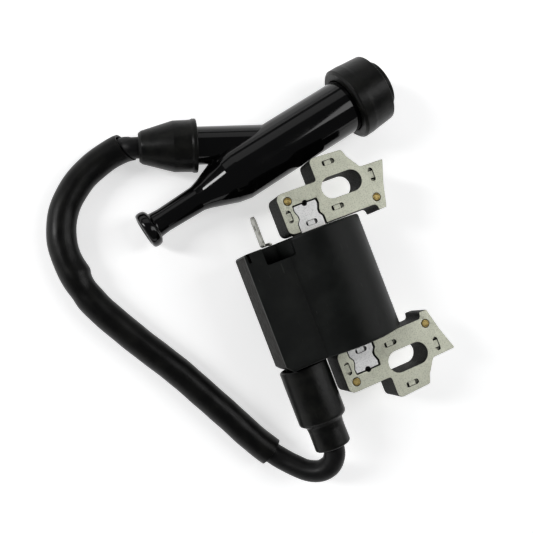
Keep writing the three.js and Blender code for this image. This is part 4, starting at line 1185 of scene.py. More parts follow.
@dataclass
class Lead:
    """The high-tension lead, its copper and the loose sleeve on it."""

    route: tuple[Spot, ...] = (
        (-32.9, -50.3, 15.6),
        (-34.7, -53.1, 14.1),
        (-38.0, -54.3, 12.0),
        (-41.7, -53.1, 9.6),
        (-45.0, -50.1, 7.4),
        (-47.7, -47.0, 5.7),
        (-49.9, -44.0, 5.0),
        (-54.3, -36.5, 4.9),
        (-58.9, -27.4, 4.9),
        (-63.5, -18.2, 4.9),
        (-68.2, -9.3, 4.9),
        (-73.2, -0.6, 4.9),
        (-78.3, 7.9, 4.9),
        (-83.1, 16.6, 4.9),
        (-87.0, 25.6, 4.9),
        (-88.8, 35.0, 4.9),
        (-88.3, 44.8, 4.9),
        (-84.3, 53.8, 4.9),
        (-77.0, 60.6, 4.9),
        (-68.0, 64.9, 5.1),
        (-61.8, 66.2, 6.1),
        (-58.8, 66.1, 6.8),
    )
    boot_end_y: float = -47.5
    in_tower: float = 21.4
    cap_boot_mouth: float = 48.8
    in_cap: float = 12.0
    conductor_radius: float = 0.9
    bore_radius: float = 1.4
    sleeve_radius: float = 4.75
    sleeve_bore: float = 4.05
    sleeve_from: int = 6
    sleeve_to: int = 21
    spacing: float = 0.9
    rim_bulge: float = 0.22
    strands: int = 7
    lay_length: float = 6.0
    copper_stops_short: int = 12
    slant: Spot = (1.5, 1.2, 11.0)
    slack: Slack = Slack()
    far_pieces: tuple[str, ...] = (
        "cap_body_skin",
        "cap_boot_skin",
        "plug_seal_skin",
        "plug_socket_cup",
        "plug_clip_ring",
        "contact_spring_wire",
    )
    line: Points = field(init=False)
    stations: Points = field(init=False)

    def __post_init__(self) -> None:
        """Work out the centre line and the length at each route point."""
        inside = [(TOWER_X, self.boot_end_y + reach, AXIS_Z) for reach in (self.in_tower, 8.0, 0.0)]
        mouth = self.cap_boot_mouth
        reaches = [mouth + 3, mouth, mouth - 12, self.in_cap + 12, self.in_cap]
        into_cap = CAP.on_branch(np.array([(reach, 0.0, 0.0) for reach in reaches]))
        points = np.vstack([inside, self.route, into_cap])
        steps = 40
        curve = centripetal_spline(points, steps)
        length = lengths_along(curve)
        self.stations = length[:: steps][len(inside) : len(inside) + len(self.route)]
        self.line = resampled(curve, self.spacing)

    def stretch(self, start: float, stop: float) -> Points:
        """The centre line between two lengths along it."""
        length = lengths_along(self.line)
        return self.line[(length >= start) & (length <= stop)]

    def build(self) -> None:
        sleeve = self.build_sleeve()
        copper = self.build_conductor()
        jacket = self.build_jacket()

    def tube(
        self,
        name: str,
        path: Points,
        outer: Points,
        inner: Points,
        sides: int,
        shear: Points | float = 0.0,
    ) -> Piece:
        """A hollow tube along a path, with rounded rims.

        Args:
            name: The piece's name.
            path: Its centre line.
            outer: Outer radii, which broadcast to (n, sides).
            inner: Inner radii.
            sides: Points round each ring.
            shear: How far each point is moved along the path, which slants the cut ends.

        Returns:
            The piece.
        """
        length = lengths_along(path)
        tangent = path_frames(path)[0][:, None]
        moved = np.broadcast_to(shear, (len(path), sides))[..., None] * tangent
        outside = swept(path, outer, sides) + moved
        inside = (swept(path, inner, sides) + moved)[::-1]
        middle = (outside[[0, -1]] + inside[[-1, 0]]) / 2
        bulge = self.rim_bulge * (outside[[0, -1]] - inside[[-1, 0]]).std()
        rim = middle + bulge * np.array([[[-1.0]], [[1.0]]]) * tangent[[0, -1]]
        grid = np.concatenate([outside, rim[1:], inside, rim[:1], outside[:1]])
        rise = np.concatenate([length, length[-1:], length[::-1], length[:1], length[:1]])
        return Shape().add_grid(grid, along=rise).finished(name, 50)

    def build_jacket(self) -> Piece:
        """The lead's jacket, whose radius wavers by two fine sines as drawn plastic does.

        Returns:
            The piece.
        """
        sides, waver = 32, 0.02
        length = lengths_along(self.line)[:, None]
        angle = np.linspace(0, 2 * math.pi, sides, endpoint=False)
        flow = waver * np.sin(length / 2.3 + 2 * angle) + 0.015 * np.sin(length / 0.9)
        radius = LEAD_RADIUS - waver + flow
        piece = self.tube("lead_jacket_skin", self.line, radius, np.array(self.bore_radius), sides)
        return WARDROBE.dress(piece, LEAD_PVC, Body.COIL, "lead_pvc", "lead_jacket")

    def build_conductor(self) -> Piece:
        """Strands twisted together: the radius swells once a strand round a ring that turns.

        Returns:
            The piece.
        """
        sides, groove = 42, 0.14
        path = self.line[self.copper_stops_short : -self.copper_stops_short]
        length = lengths_along(path)[:, None]
        angle = np.linspace(0, 2 * math.pi, sides, endpoint=False)
        swell = np.abs(np.cos(self.strands / 2 * (angle - length / self.lay_length)))
        grid = swept(path, self.conductor_radius * (1 - groove + groove * swell), sides)
        ends = [np.repeat(path[[i]], sides, axis=0)[None] for i in (0, -1)]
        shape = Shape().add_grid(np.concatenate([ends[0], grid, ends[1]]))
        piece = shape.finished("lead_conductor_strands")
        return WARDROBE.dress(piece, STRAND, Body.COIL, "copper_wire", "lead_conductor")

    def build_sleeve(self) -> Piece:
        """The sleeve: slack folds on the inside of its tightest bend and slanting cut ends.

        Returns:
            The piece.
        """
        sides, sway_reach = 48, 0.06
        path = self.stretch(self.stations[self.sleeve_from], self.stations[self.sleeve_to])
        length = lengths_along(path)[:, None]
        whole = length[-1]
        place = length / whole
        angle = np.linspace(0, 2 * math.pi, sides, endpoint=False)[None]
        far = (place - self.slack.share_at) * whole
        swell = self.slack.swell(far, 0.5 - 0.5 * np.cos(angle))
        sway = 0.05 * np.sin(place * 37 + angle) + 0.03 * np.sin(place * 91 - 2 * angle)
        outer = self.sleeve_radius - sway_reach + swell + sway
        inner = np.maximum(outer - (self.sleeve_radius - self.sleeve_bore), LEAD_RADIUS + 0.12)
        side_reach, up_reach, fade = self.slant
        near_end = smoothstep((length - whole + fade) / fade)
        shear = -near_end * (side_reach * np.cos(angle) + up_reach * np.sin(angle))
        piece = self.tube("lead_sleeve_skin", path, outer, inner, sides, shear)
        return WARDROBE.dress(piece, SLEEVE_PVC, Body.COIL, "sleeve_pvc", "lead_sleeve")


# ------------------------------------------------------------------ core


@dataclass(frozen=True)
class Dimple:
    """A pressed interlock: a slot-shaped hollow, deep at its two ends, with a shallow middle."""

    x: float
    y: float
    along_y: bool = False
    half_length: float = 2.3
    half_width: float = 0.85
    shallow: float = 0.42
    deep: float = 1.1
    deep_from: float = 1.25
    deep_ramp: float = 0.3
    wall: float = 0.12

    def grid(self, top: float) -> Points:
        """Work out the hollow.

        With u from -1 to 1 along it and v from -1 to 1 across it, the point lies at the length
        u L and the width v w(u), where w is the half width of a slot with round ends; its depth
        is the shallow depth, growing smoothly to the deep one near the ends, and 0 at the rim.

        Args:
            top: Height of the face that the hollow is pressed into.

        Returns:
            The surface, as a (columns, rows, 3) grid whose border is the rim.
        """
        u = np.sin(np.linspace(-math.pi / 2, math.pi / 2, 25))[:, None]
        v = np.array([-1, -0.9, -0.86, -0.4, 0, 0.4, 0.86, 0.9, 1])[None]
        reach = u * self.half_length
        past = np.clip(np.abs(reach) - (self.half_length - self.half_width), 0, None)
        width = np.sqrt(np.clip(self.half_width**2 - past**2, 0, None))
        deeper = smoothstep((np.abs(reach) - self.deep_from) / self.deep_ramp)
        depth = self.shallow + (self.deep - self.shallow) * deeper
        depth = depth * np.clip((1 - np.abs(v)) / self.wall, 0, 1)
        length, across = np.broadcast_arrays(reach, v * width)
        flat = (across, length) if self.along_y else (length, across)
        return np.stack([self.x + flat[0], self.y + flat[1], top - depth], axis=-1)

    def rim(self, top: float) -> Points:
        """The hollow's border as a loop."""
        grid = self.grid(top)
        return np.vstack([grid[:-1, 0], grid[::-1, -1][:-1]])


@dataclass
class Core:
    """Two riveted legs with fixing slots and pole faces, and the bar that joins them."""

    sheets: int = 23
    groove: float = 0.04
    edge: float = 0.14
    slip: float = 0.32
    bar_width: float = 8.7
    neck_width: float = 6.9
    head_width: float = 8.3
    head_depth: float = 8.35
    neck_share: float = 0.54
    shoulder_share: float = 0.82
    keyhole: float = 0.9
    back_x: float = -22.5
    slot_y: float = 30.0
    slot_radius: float = 3.55
    slot_half_travel: float = 3.5
    flywheel_x: float = 97.4
    flywheel_radius: float = 87.5
    rivet_radius: float = 1.25
    rivet_clearance: float = 0.12
    rivet_ring: Corners = (
        (0.0, 0.10),
        (0.35, 0.12, 0.1),
        (0.62, 0.14, 0.08),
        (0.72, 0.02, 0.05),
        (0.84, 0.02, 0.05),
        (0.95, 0.2, 0.08),
    )
    rivets: tuple[tuple[str, float, float], ...] = (("pole", 9.7, 22.1), ("bar", -19.2, 30.6))
    dimples: tuple[Dimple, ...] = (
        Dimple(-1.76, 38.15),
        Dimple(10.9, 29.6, along_y=True),
        Dimple(-4.1, 23.6),
        Dimple(-20.3, 25.75, along_y=True, half_length=2.1),
    )
    bar_dimple: Dimple = Dimple(-14.1, 21.8, half_length=2.0)
    bar_shift: float = -0.2

    def build(self) -> None:
        """Build the legs, the bar and the rivets."""
        for row, side in (("upper", 1), ("lower", -1)):
            self.build_leg(row, side)
            for place, x, y in self.rivets:
                self.build_rivet(f"rivet_{row}_{place}", x, side * y)
        self.build_bar()

    def pole_x(self, y: float) -> float:
        """Where the flywheel's circle, widened by the air gap, cuts a leg at a height y."""
        return self.flywheel_x - math.sqrt(self.flywheel_radius**2 - y**2)

    def socket(self, grow: float) -> list[tuple[float, ...]]:
        """Corners of one side of the bar's jigsaw head, from its root to its top.

        Args:
            grow: A clearance that is added all round.

        Returns:
            Distance from the bar's axis, height and rounding of each corner.
        """
        neck_at = LEG_INNER_Y + self.head_depth * self.neck_share
        head_at = LEG_INNER_Y + self.head_depth * self.shoulder_share
        top_at = LEG_INNER_Y + self.head_depth + grow
        widths = (self.bar_width, self.neck_width, self.head_width)
        half, neck, head = (width / 2 + grow for width in widths)
        return [
            (half, neck_at - 1.9, 0.7),
            (neck, neck_at - 0.6, 0.6),
            (neck, neck_at + 0.5, 0.5),
            (head, head_at, 0.6),
            (head - 0.15, top_at, 0.4),
        ]

    def leg_loop(self) -> Points:
        """The upper leg's border, counter-clockwise, with the socket and its keyhole.

        Returns:
            The border's points, (n, 2).
        """
        middle_y = 25.55
        socket = self.socket(self.slip)
        right = [(BAR_X + x, y, r) for x, y, r in socket]
        left = [(BAR_X - x, y, r) for x, y, r in socket]
        top_at = socket[-1][1]
        keyhole_y = LEG_INNER_Y + self.head_depth
        spread = math.asin((top_at - keyhole_y) / self.keyhole)
        keyhole = arc(BAR_X, keyhole_y, self.keyhole, math.pi - spread, spread, 14)
        half = self.bar_width / 2 + self.slip
        before = [
            (self.back_x, LEG_INNER_Y + 5),
            (self.back_x, LEG_INNER_Y, 2.4),
            (BAR_X - half, LEG_INNER_Y, 0.15),
            *left,
            tuple(keyhole[0]),
        ]
        outside = [
            tuple(keyhole[-1]),
            *right[::-1],
            (BAR_X + half, LEG_INNER_Y, 0.15),
            (8.7, LEG_INNER_Y, 1.4),
            (9.0, 17.9, 0.5),
            (self.pole_x(18.0), 18.0, 0.4),
            (self.pole_x(middle_y), middle_y),
            (self.pole_x(33.1), 33.1, 0.3),
            (8.1, LEG_OUTER_Y - 0.3, 1.2),
            (4.9, LOBE_TOP_Y - 3.2, 1.0),
            (4.0, LOBE_TOP_Y - 0.5, 1.2),
            (-7.8, LOBE_TOP_Y, 2.0),
            (-7.8, LEG_OUTER_Y, 1.0),
            (self.back_x, LEG_OUTER_Y, 2.4),
            (self.back_x, LEG_INNER_Y + 5),
        ]
        return np.vstack([rounded_path(before)[1:-1], keyhole, rounded_path(outside)[1:-1]])

    def bar_loop(self) -> Points:
        """The bar's border, counter-clockwise, a keyhole notch in each head.

        Returns:
            The border's points, (n, 2).
        """
        keyhole_y = LEG_INNER_Y + self.head_depth
        socket = self.socket(-0.08)
        notch = arc(BAR_X, keyhole_y, self.keyhole, 0, -math.pi, 14)
        side = [(BAR_X + x, y, r) for x, y, r in socket]
        right = rounded_path([(side[0][0], 0.0), *side, tuple(notch[0])])[1:-1]
        left = right * [-1, 1] + [2 * BAR_X, 0]
        upper = np.vstack([right, notch, left[::-1]])
        lower = (upper * [1, -1])[::-1]
        return np.vstack([upper, lower]) + [self.bar_shift, 0]

    def stack(self, loops: list[Points], dimples: list[Dimple]) -> Shape:
        """Stack sheets of one outline.

        The border runs up through three rings a sheet: two at the sheet's faces and one drawn in
        between it and the next; the outermost edges are rounded.

        Args:
            loops: The outer border, counter-clockwise, then the holes, clockwise.
            dimples: The hollows pressed into the upper face.

        Returns:
            The closed stack.
        """
        sheet = CORE_THICKNESS / self.sheets
        low = CORE_BOTTOM_Z + sheet * np.arange(self.sheets)[:, None]
        places = (low + np.array([[0.12, 0.88, 1.0]]) * sheet).ravel()[:-2]
        insets = np.tile([0, 0, self.groove], self.sheets)[:-2]
        end_places, end_insets = rounded_ends(CORE_BOTTOM_Z, CORE_TOP_Z, self.edge, 3)
        places = np.concatenate([end_places[:4], places[1:-1], end_places[4:]])
        insets = np.concatenate([end_insets[:4], insets[1:-1], end_insets[4:]])
        shape = Shape()
        tops, bottoms = [], []
        for loop in loops:
            rings = np.stack([upright(shrunk(loop, inset), z) for inset, z in zip(insets, places)])
            shape.add_grid(rings)
            bottoms.append(rings[0])
            tops.append(rings[-1])
        shape.add_fill(bottoms)
        shape.add_fill([*tops, *(dimple.rim(CORE_TOP_Z) for dimple in dimples)])
        for dimple in dimples:
            shape.add_grid(dimple.grid(CORE_TOP_Z), wrap=False)
        return shape

    def build_leg(self, row: str, side: int) -> None:
        """Build one leg; the lower one is the upper one mirrored.

        Args:
            row: "upper" or "lower".
            side: 1 for the upper leg and -1 for the lower.
        """
        travel, radius, y = self.slot_half_travel, self.slot_radius, self.slot_y
        quarter, bore = math.pi / 2, self.rivet_radius + self.rivet_clearance
        slot_ends = [
            arc(travel, y, radius, quarter, -quarter, 24),
            arc(-travel, y, radius, 3 * quarter, quarter, 24),
        ]
        holes = [circle(x, at, bore, 32)[::-1] for _, x, at in self.rivets]
        loops = [self.leg_loop(), np.vstack(slot_ends), *holes]
        dimples = list(self.dimples)
        if side < 0:
            loops = [(loop * [1, -1])[::-1] for loop in loops]
            dimples = [Dimple(d.x, -d.y, d.along_y, d.half_length) for d in dimples]
        piece = self.stack(loops, dimples).finished(f"core_leg_{row}_stack", 34)
        weigh_normals(piece)
        WARDROBE.dress(piece, LEG_STEEL, Body.COIL, "core_steel", f"core_leg_{row}")

    def build_bar(self) -> None:
        """Build the centre bar."""
        d = self.bar_dimple
        dimples = [Dimple(d.x, side * d.y, False, d.half_length) for side in (1, -1)]
        piece = self.stack([self.bar_loop()], dimples).finished("core_bar_stack", 34)
        weigh_normals(piece)
        WARDROBE.dress(piece, BAR_STEEL, Body.COIL, "bar_steel", "core_bar")

    def build_rivet(self, name: str, x: float, y: float) -> None:
        """Build a rivet: a shank with a punched ring in each head.

        Args:
            name: The rivet's CAD node.
            x: Its place along the legs.
            y: Its place along the bar.
        """
        r = self.rivet_radius
        rim = [(r - 0.12, 0.17, 0.1), (r, -0.05, 0.08), (r, -1.0)]
        top = rounded_path([*self.rivet_ring, *rim], 4)
        half = CORE_THICKNESS / 2
        profile = np.vstack([top + [0, half], (top * [1, -1] - [0, half])[::-1]])
        grid = turned(profile, 48)[..., [1, 2, 0]] + np.array([x, y, AXIS_Z])
        piece = Shape().add_grid(grid).finished(f"{name}_head", 40)
        WARDROBE.dress(piece, RIVET_BRASS, Body.COIL, "rivet_brass", name)


# ------------------------------------------------------------------ case


def on_tower(grid: Points, start: float) -> Points:
    """Place a turned grid on the tower's axis, its distances counted outwards from a start along Y."""
    places = [TOWER_X + grid[..., 1], start - grid[..., 0], AXIS_Z + grid[..., 2]]
    return np.stack(places, axis=-1)


@dataclass
class Case:
    """The coil's moulded case: a drum over the windings, a box beside it and the lead's tower."""

    radius: float = 16.5
    flat_width: float = 6.0
    wall: float = 1.7
    box_left: float = -39.85
    box_rise: float = 11.0
    box_corner: float = 8.0
    end_round: float = 0.9
    end_chamfer: float = 2.2
    window_drop: float = 1.3
    window_down: float = 6.4
    window_end: float = 0.7
    epoxy_below: float = 0.22
    tower_radius: float = 5.7
    tower_bore: float = 3.85
    pocket_low: Spot = (-34.0, 13.9, 22.225)
    pocket_high_x: float = -24.6
    pocket_skin: float = 1.0
    passage_half: tuple[float, float] = (5.95, 7.35)

    def outline(self, inset: float) -> Points:
        """The case's section in X and Z, shrunk by an inset, counter-clockwise from its flat foot.

        The drum is a circle about the bar's axis; where the box's top and bottom lines meet it at
        the angle asin(rise / radius), the outline leaves the circle for the box and comes back.

        Args:
            inset: How far the section is shrunk all round.

        Returns:
            The section's points, (n, 2).
        """
        radius, rise = self.radius - inset, self.box_rise - inset
        left = self.box_left + inset
        flat = math.asin(self.flat_width / 2 / self.radius)
        lean = math.asin(rise / radius)
        over = arc(BAR_X, AXIS_Z, radius, flat - math.pi / 2, math.pi - lean, 110)
        under = arc(BAR_X, AXIS_Z, radius, math.pi + lean, 1.5 * math.pi - flat, 30)
        corners = [
            tuple(over[-1]),
            (left, AXIS_Z + rise, 0.6),
            (left, AXIS_Z - rise, self.box_corner - inset),
            tuple(under[0]),
        ]
        return np.vstack([over, rounded_path(corners, 14)[1:-1], under])

    def form(self, inset: float, half_length: float, end_round: float) -> Shape:
        """The case's form along Y, with rounded ends.

        Args:
            inset: How far its section is shrunk.
            half_length: Half its length.
            end_round: Radius of its end edges, or 0 for sharp ones.

        Returns:
            The closed form.
        """
        if end_round <= 0:
            rings = [crosswise(self.outline(inset), y) for y in (-half_length, half_length)]
        else:
            places, insets = rounded_ends(-half_length, half_length, end_round)
            rings = [crosswise(self.outline(inset + more), y) for y, more in zip(places, insets)]
        return Shape().add_grid(np.stack(rings)).add_fill([rings[0]]).add_fill([rings[-1]])

    def build(self) -> None:
        """Carve the case out of its form."""
        body = self.form(0.0, CASE_HALF_LENGTH, self.end_round).finished("coil_case_shell")
        combined(body, Joining.DIFFERENCE, self.corner_cut())
        combined(body, Joining.UNION, self.tower(self.tower_radius, 0.0))
        hollow = self.form(self.wall, CASE_HALF_LENGTH - self.wall, 0.0).finished("hollow")
        combined(hollow, Joining.DIFFERENCE, self.pocket(self.wall))
        tools = [hollow, self.pocket(0.0), self.window(0.0), self.notch(), self.passage()]
        tools += [self.terminal_slot(), self.tower(self.tower_bore, 3.0)]
        combined(body, Joining.DIFFERENCE, *tools)
        softened(body, 0.22, 42, 2)
        weigh_normals(body)
        WARDROBE.dress(body, CASE_PLASTIC, Body.COIL, "case_plastic", "coil_case")
        self.build_epoxy_face()
        WARDROBE.dress_node("potting_fill", EPOXY)

    def tower(self, radius: float, beyond: float) -> Piece:
        """The lead's tower, or its bore when it reaches beyond the tower's end.

        Args:
            radius: Radius of the solid.
            beyond: How far it reaches past the tower's root and end.

        Returns:
            The solid.
        """
        root, end = 1.0 + beyond, TOWER_LENGTH + beyond
        profile = rounded_path([(0.0, -root), (radius, -root), (radius, end, 0.5), (0.0, end)], 6)
        grid = turned(profile, 96)
        return Shape().add_grid(on_tower(grid, -CASE_HALF_LENGTH)).finished("tower")

    def corner_cut(self) -> Piece:
        """What the chamfer takes off the box's upright outer edge at the tower's end.

        Returns:
            The solid that is cut away.
        """
        x, y, c = self.box_left, -CASE_HALF_LENGTH, self.end_chamfer
        loop = np.array([(x - 1, y - 1), (x + c + 1, y - 1), (x - 1, y + c + 1)])
        return prism(loop, upright, [0.0, 2 * AXIS_Z], [0, 0]).finished("corner_cut")

    def pocket(self, wall: float) -> Piece:
        """The recess in the box's top beside the spade, which only skims the drum.

        Args:
            wall: 0 for the recess itself, or the wall that surrounds it on the inside.

        Returns:
            The solid that is cut away.
        """
        low = np.array(self.pocket_low) - wall
        high = (self.pocket_high_x + wall, CASE_HALF_LENGTH + 1, 2 * AXIS_Z)
        block = box_shape(low, high, 0.8).finished("pocket")
        core_radius = self.radius - (self.wall if wall else self.pocket_skin)
        loop = circle(BAR_X, AXIS_Z, core_radius, 120)
        keep = prism(loop, crosswise, [low[1] - 2, high[1] + 2], [0, 0]).finished("pocket_keep")
        return combined(block, Joining.DIFFERENCE, keep)

    def window(self, shrink: float) -> Piece:
        """The opening in the box's outer side that the epoxy closes, or the epoxy's own block.

        Args:
            shrink: How much narrower the block is on each side than the opening.

        Returns:
            The solid.
        """
        y = CASE_HALF_LENGTH - self.window_end - shrink
        low = (self.box_left - 1, -y, AXIS_Z - self.window_down + shrink)
        high = (self.box_left + self.wall, y, AXIS_Z + self.box_rise - self.window_drop - shrink)
        return box_shape(low, high).finished("window")

    def notch(self) -> Piece:
        """The sprue notch in the box's upper outer edge, at the spade's end.

        Returns:
            The solid that is cut away.
        """
        low = (self.box_left + 0.7, CASE_HALF_LENGTH - 3.0, AXIS_Z + self.box_rise - 1.6)
        high = (self.box_left + 1.6, CASE_HALF_LENGTH + 1, 2 * AXIS_Z)
        return box_shape(low, high, 0.2).finished("notch")

    def build_epoxy_face(self) -> None:
        """The skin of set epoxy in the window, a little below the rim."""
        half_length = CASE_HALF_LENGTH - self.epoxy_below
        skin = self.form(self.epoxy_below, half_length, 0.6).finished("epoxy_face")
        combined(skin, Joining.DIFFERENCE, self.corner_cut())
        combined(skin, Joining.INTERSECT, self.window(0.03))
        smooth(skin, 30)
        WARDROBE.dress(skin, EPOXY, Body.COIL, "epoxy")

    def passage(self) -> Piece:
        """The opening through both end walls for the bobbin's tube.

        Returns:
            The solid that is cut away.
        """
        half_x, half_z = self.passage_half
        signs = ((-1, -1), (1, -1), (1, 1), (-1, 1))
        corners = [(BAR_X + sx * half_x, AXIS_Z + sz * half_z, 1.0) for sx, sz in signs]
        loop = rounded_path(corners, 6, closed=True)
        end = CASE_HALF_LENGTH + 1
        return prism(loop, crosswise, [-end, end], [0, 0]).finished("passage")

    def terminal_slot(self) -> Piece:
        """The slot in the end wall for the spade's tail.

        Returns:
            The solid that is cut away.
        """
        spade = Spade()
        x, z = spade.x + spade.tail_offset, spade.z - spade.tail_drop
        half = spade.thickness / 2 + GAP
        low = (x - half, CASE_HALF_LENGTH - self.wall - 1, z - spade.tail_half_width - GAP)
        high = (x + half, CASE_HALF_LENGTH + 1, z + spade.tail_half_width + GAP)
        return box_shape(low, high).finished("terminal_slot")


# ------------------------------------------------------------------ spade and tower boot


@dataclass
class Spade:
    """The stop-switch wire's terminal: one tinned strip, bent twice."""

    x: float = -31.5
    z: float = 20.2
    thickness: float = 0.8
    width: float = 4.8
    length: float = 9.4
    tail_offset: float = 2.8
    tail_drop: float = 1.5
    tail_half_width: float = 1.2
    tail_depth: float = 7.0
    hole_radius: float = 0.8
    hole_from_tip: float = 3.6
    bend: float = 0.55
    chamfer: float = 1.3

    def build(self) -> None:
        """Carry the strip's section along its bent middle line and drill the locking hole.

        The middle line lies in a level plane. The half width narrows over the chamfered tip and
        again towards the tail, and the strip's middle drops to the tail's height across its foot.
        """
        foot = CASE_HALF_LENGTH + GAP + self.thickness / 2
        tip = foot + self.thickness / 2 + self.length
        tail = foot - self.thickness / 2 - self.tail_depth
        tail_x = self.x + self.tail_offset
        corners = [(self.x, tip), (self.x, foot, self.bend), (tail_x, foot, self.bend), (tail_x, tail)]
        line = resampled(rounded_path(corners, 10), 0.12)
        run = lengths_along(line)
        tangent = np.gradient(line, axis=0)
        tangent /= np.linalg.norm(tangent, axis=1, keepdims=True)
        normal = np.column_stack([tangent[:, 1], -tangent[:, 0]])
        at_foot = self.length + self.thickness
        down = smoothstep((run - at_foot + 0.6) / (self.tail_offset - 0.2))
        chamfer = np.clip(self.chamfer - run, 0, None) + 0.25 * np.clip(0.35 - run, 0, None)
        half_width = self.width / 2 - chamfer
        half_width = half_width + (self.tail_half_width - half_width) * down
        corner = 0.16
        square = [(-1, -1, corner), (1, -1, corner), (1, 1, corner), (-1, 1, corner)]
        section = rounded_path(square, 4, closed=True)
        across = section[:, 0] * self.thickness / 2
        flat = line[:, None] + normal[:, None] * across[None, :, None]
        height = (self.z - self.tail_drop * down)[:, None] + half_width[:, None] * section[:, 1]
        grid = np.concatenate([flat, height[..., None]], axis=-1)
        shape = Shape().add_grid(grid).add_fill([grid[0]]).add_fill([grid[-1]])
        piece = shape.finished("kill_terminal_blade", 35)
        r, reach = self.hole_radius, 2.0
        drill = turned(np.array([(0, -reach), (r, -reach), (r, reach), (0, reach)]), 32)
        drill = drill + np.array([self.x, tip - self.hole_from_tip, self.z])
        hole = Shape().add_grid(drill).finished("hole")
        combined(piece, Joining.DIFFERENCE, hole)
        smooth(piece, 35)
        WARDROBE.dress(piece, TINPLATE, Body.COIL, "plated_steel", "kill_terminal")


@dataclass
class TowerBoot:
    """The two-stage rubber boot over the case's tower and the lead."""

    big: float = 7.9
    small: float = 5.85
    big_length: float = 18.4
    length: float = 27.8
    room: float = 6.0
    grip: float = 3.85

    def build(self) -> None:
        """Turn the boot's profile about the tower's axis."""
        step, end, big, small = self.big_length, self.length, self.big, self.small
        corners = [
            (self.room, 0.0, 0.2),
            (big, 0.0, 0.7),
            (big - 0.06, 2.2, 1.0),
            (big, 4.0, 1.0),
            (big - 0.05, step - 0.2, 1.3),
            (small + 0.25, step + 1.0, 1.2),
            (small, step + 3.0, 1.0),
            (small + 0.05, end, 0.9),
            (self.grip + 0.3, end, 0.3),
            (self.grip, end - 0.6, 0.2),
            (self.grip, TOWER_LENGTH + GAP, 0.2),
            (self.room, TOWER_LENGTH + GAP, 0.3),
            (self.room, 0.0, 0.2),
        ]
        profile = resampled(rounded_path(corners), 0.25)
        grid = turned(profile, 96, PARTING_LINE)
        start = -CASE_HALF_LENGTH - GAP
        piece = Shape().add_grid(on_tower(grid, start)).finished("tower_boot_skin", 45)
        WARDROBE.dress(piece, RUBBER, Body.COIL, "rubber", "tower_boot")


# ------------------------------------------------------------------ plug cap


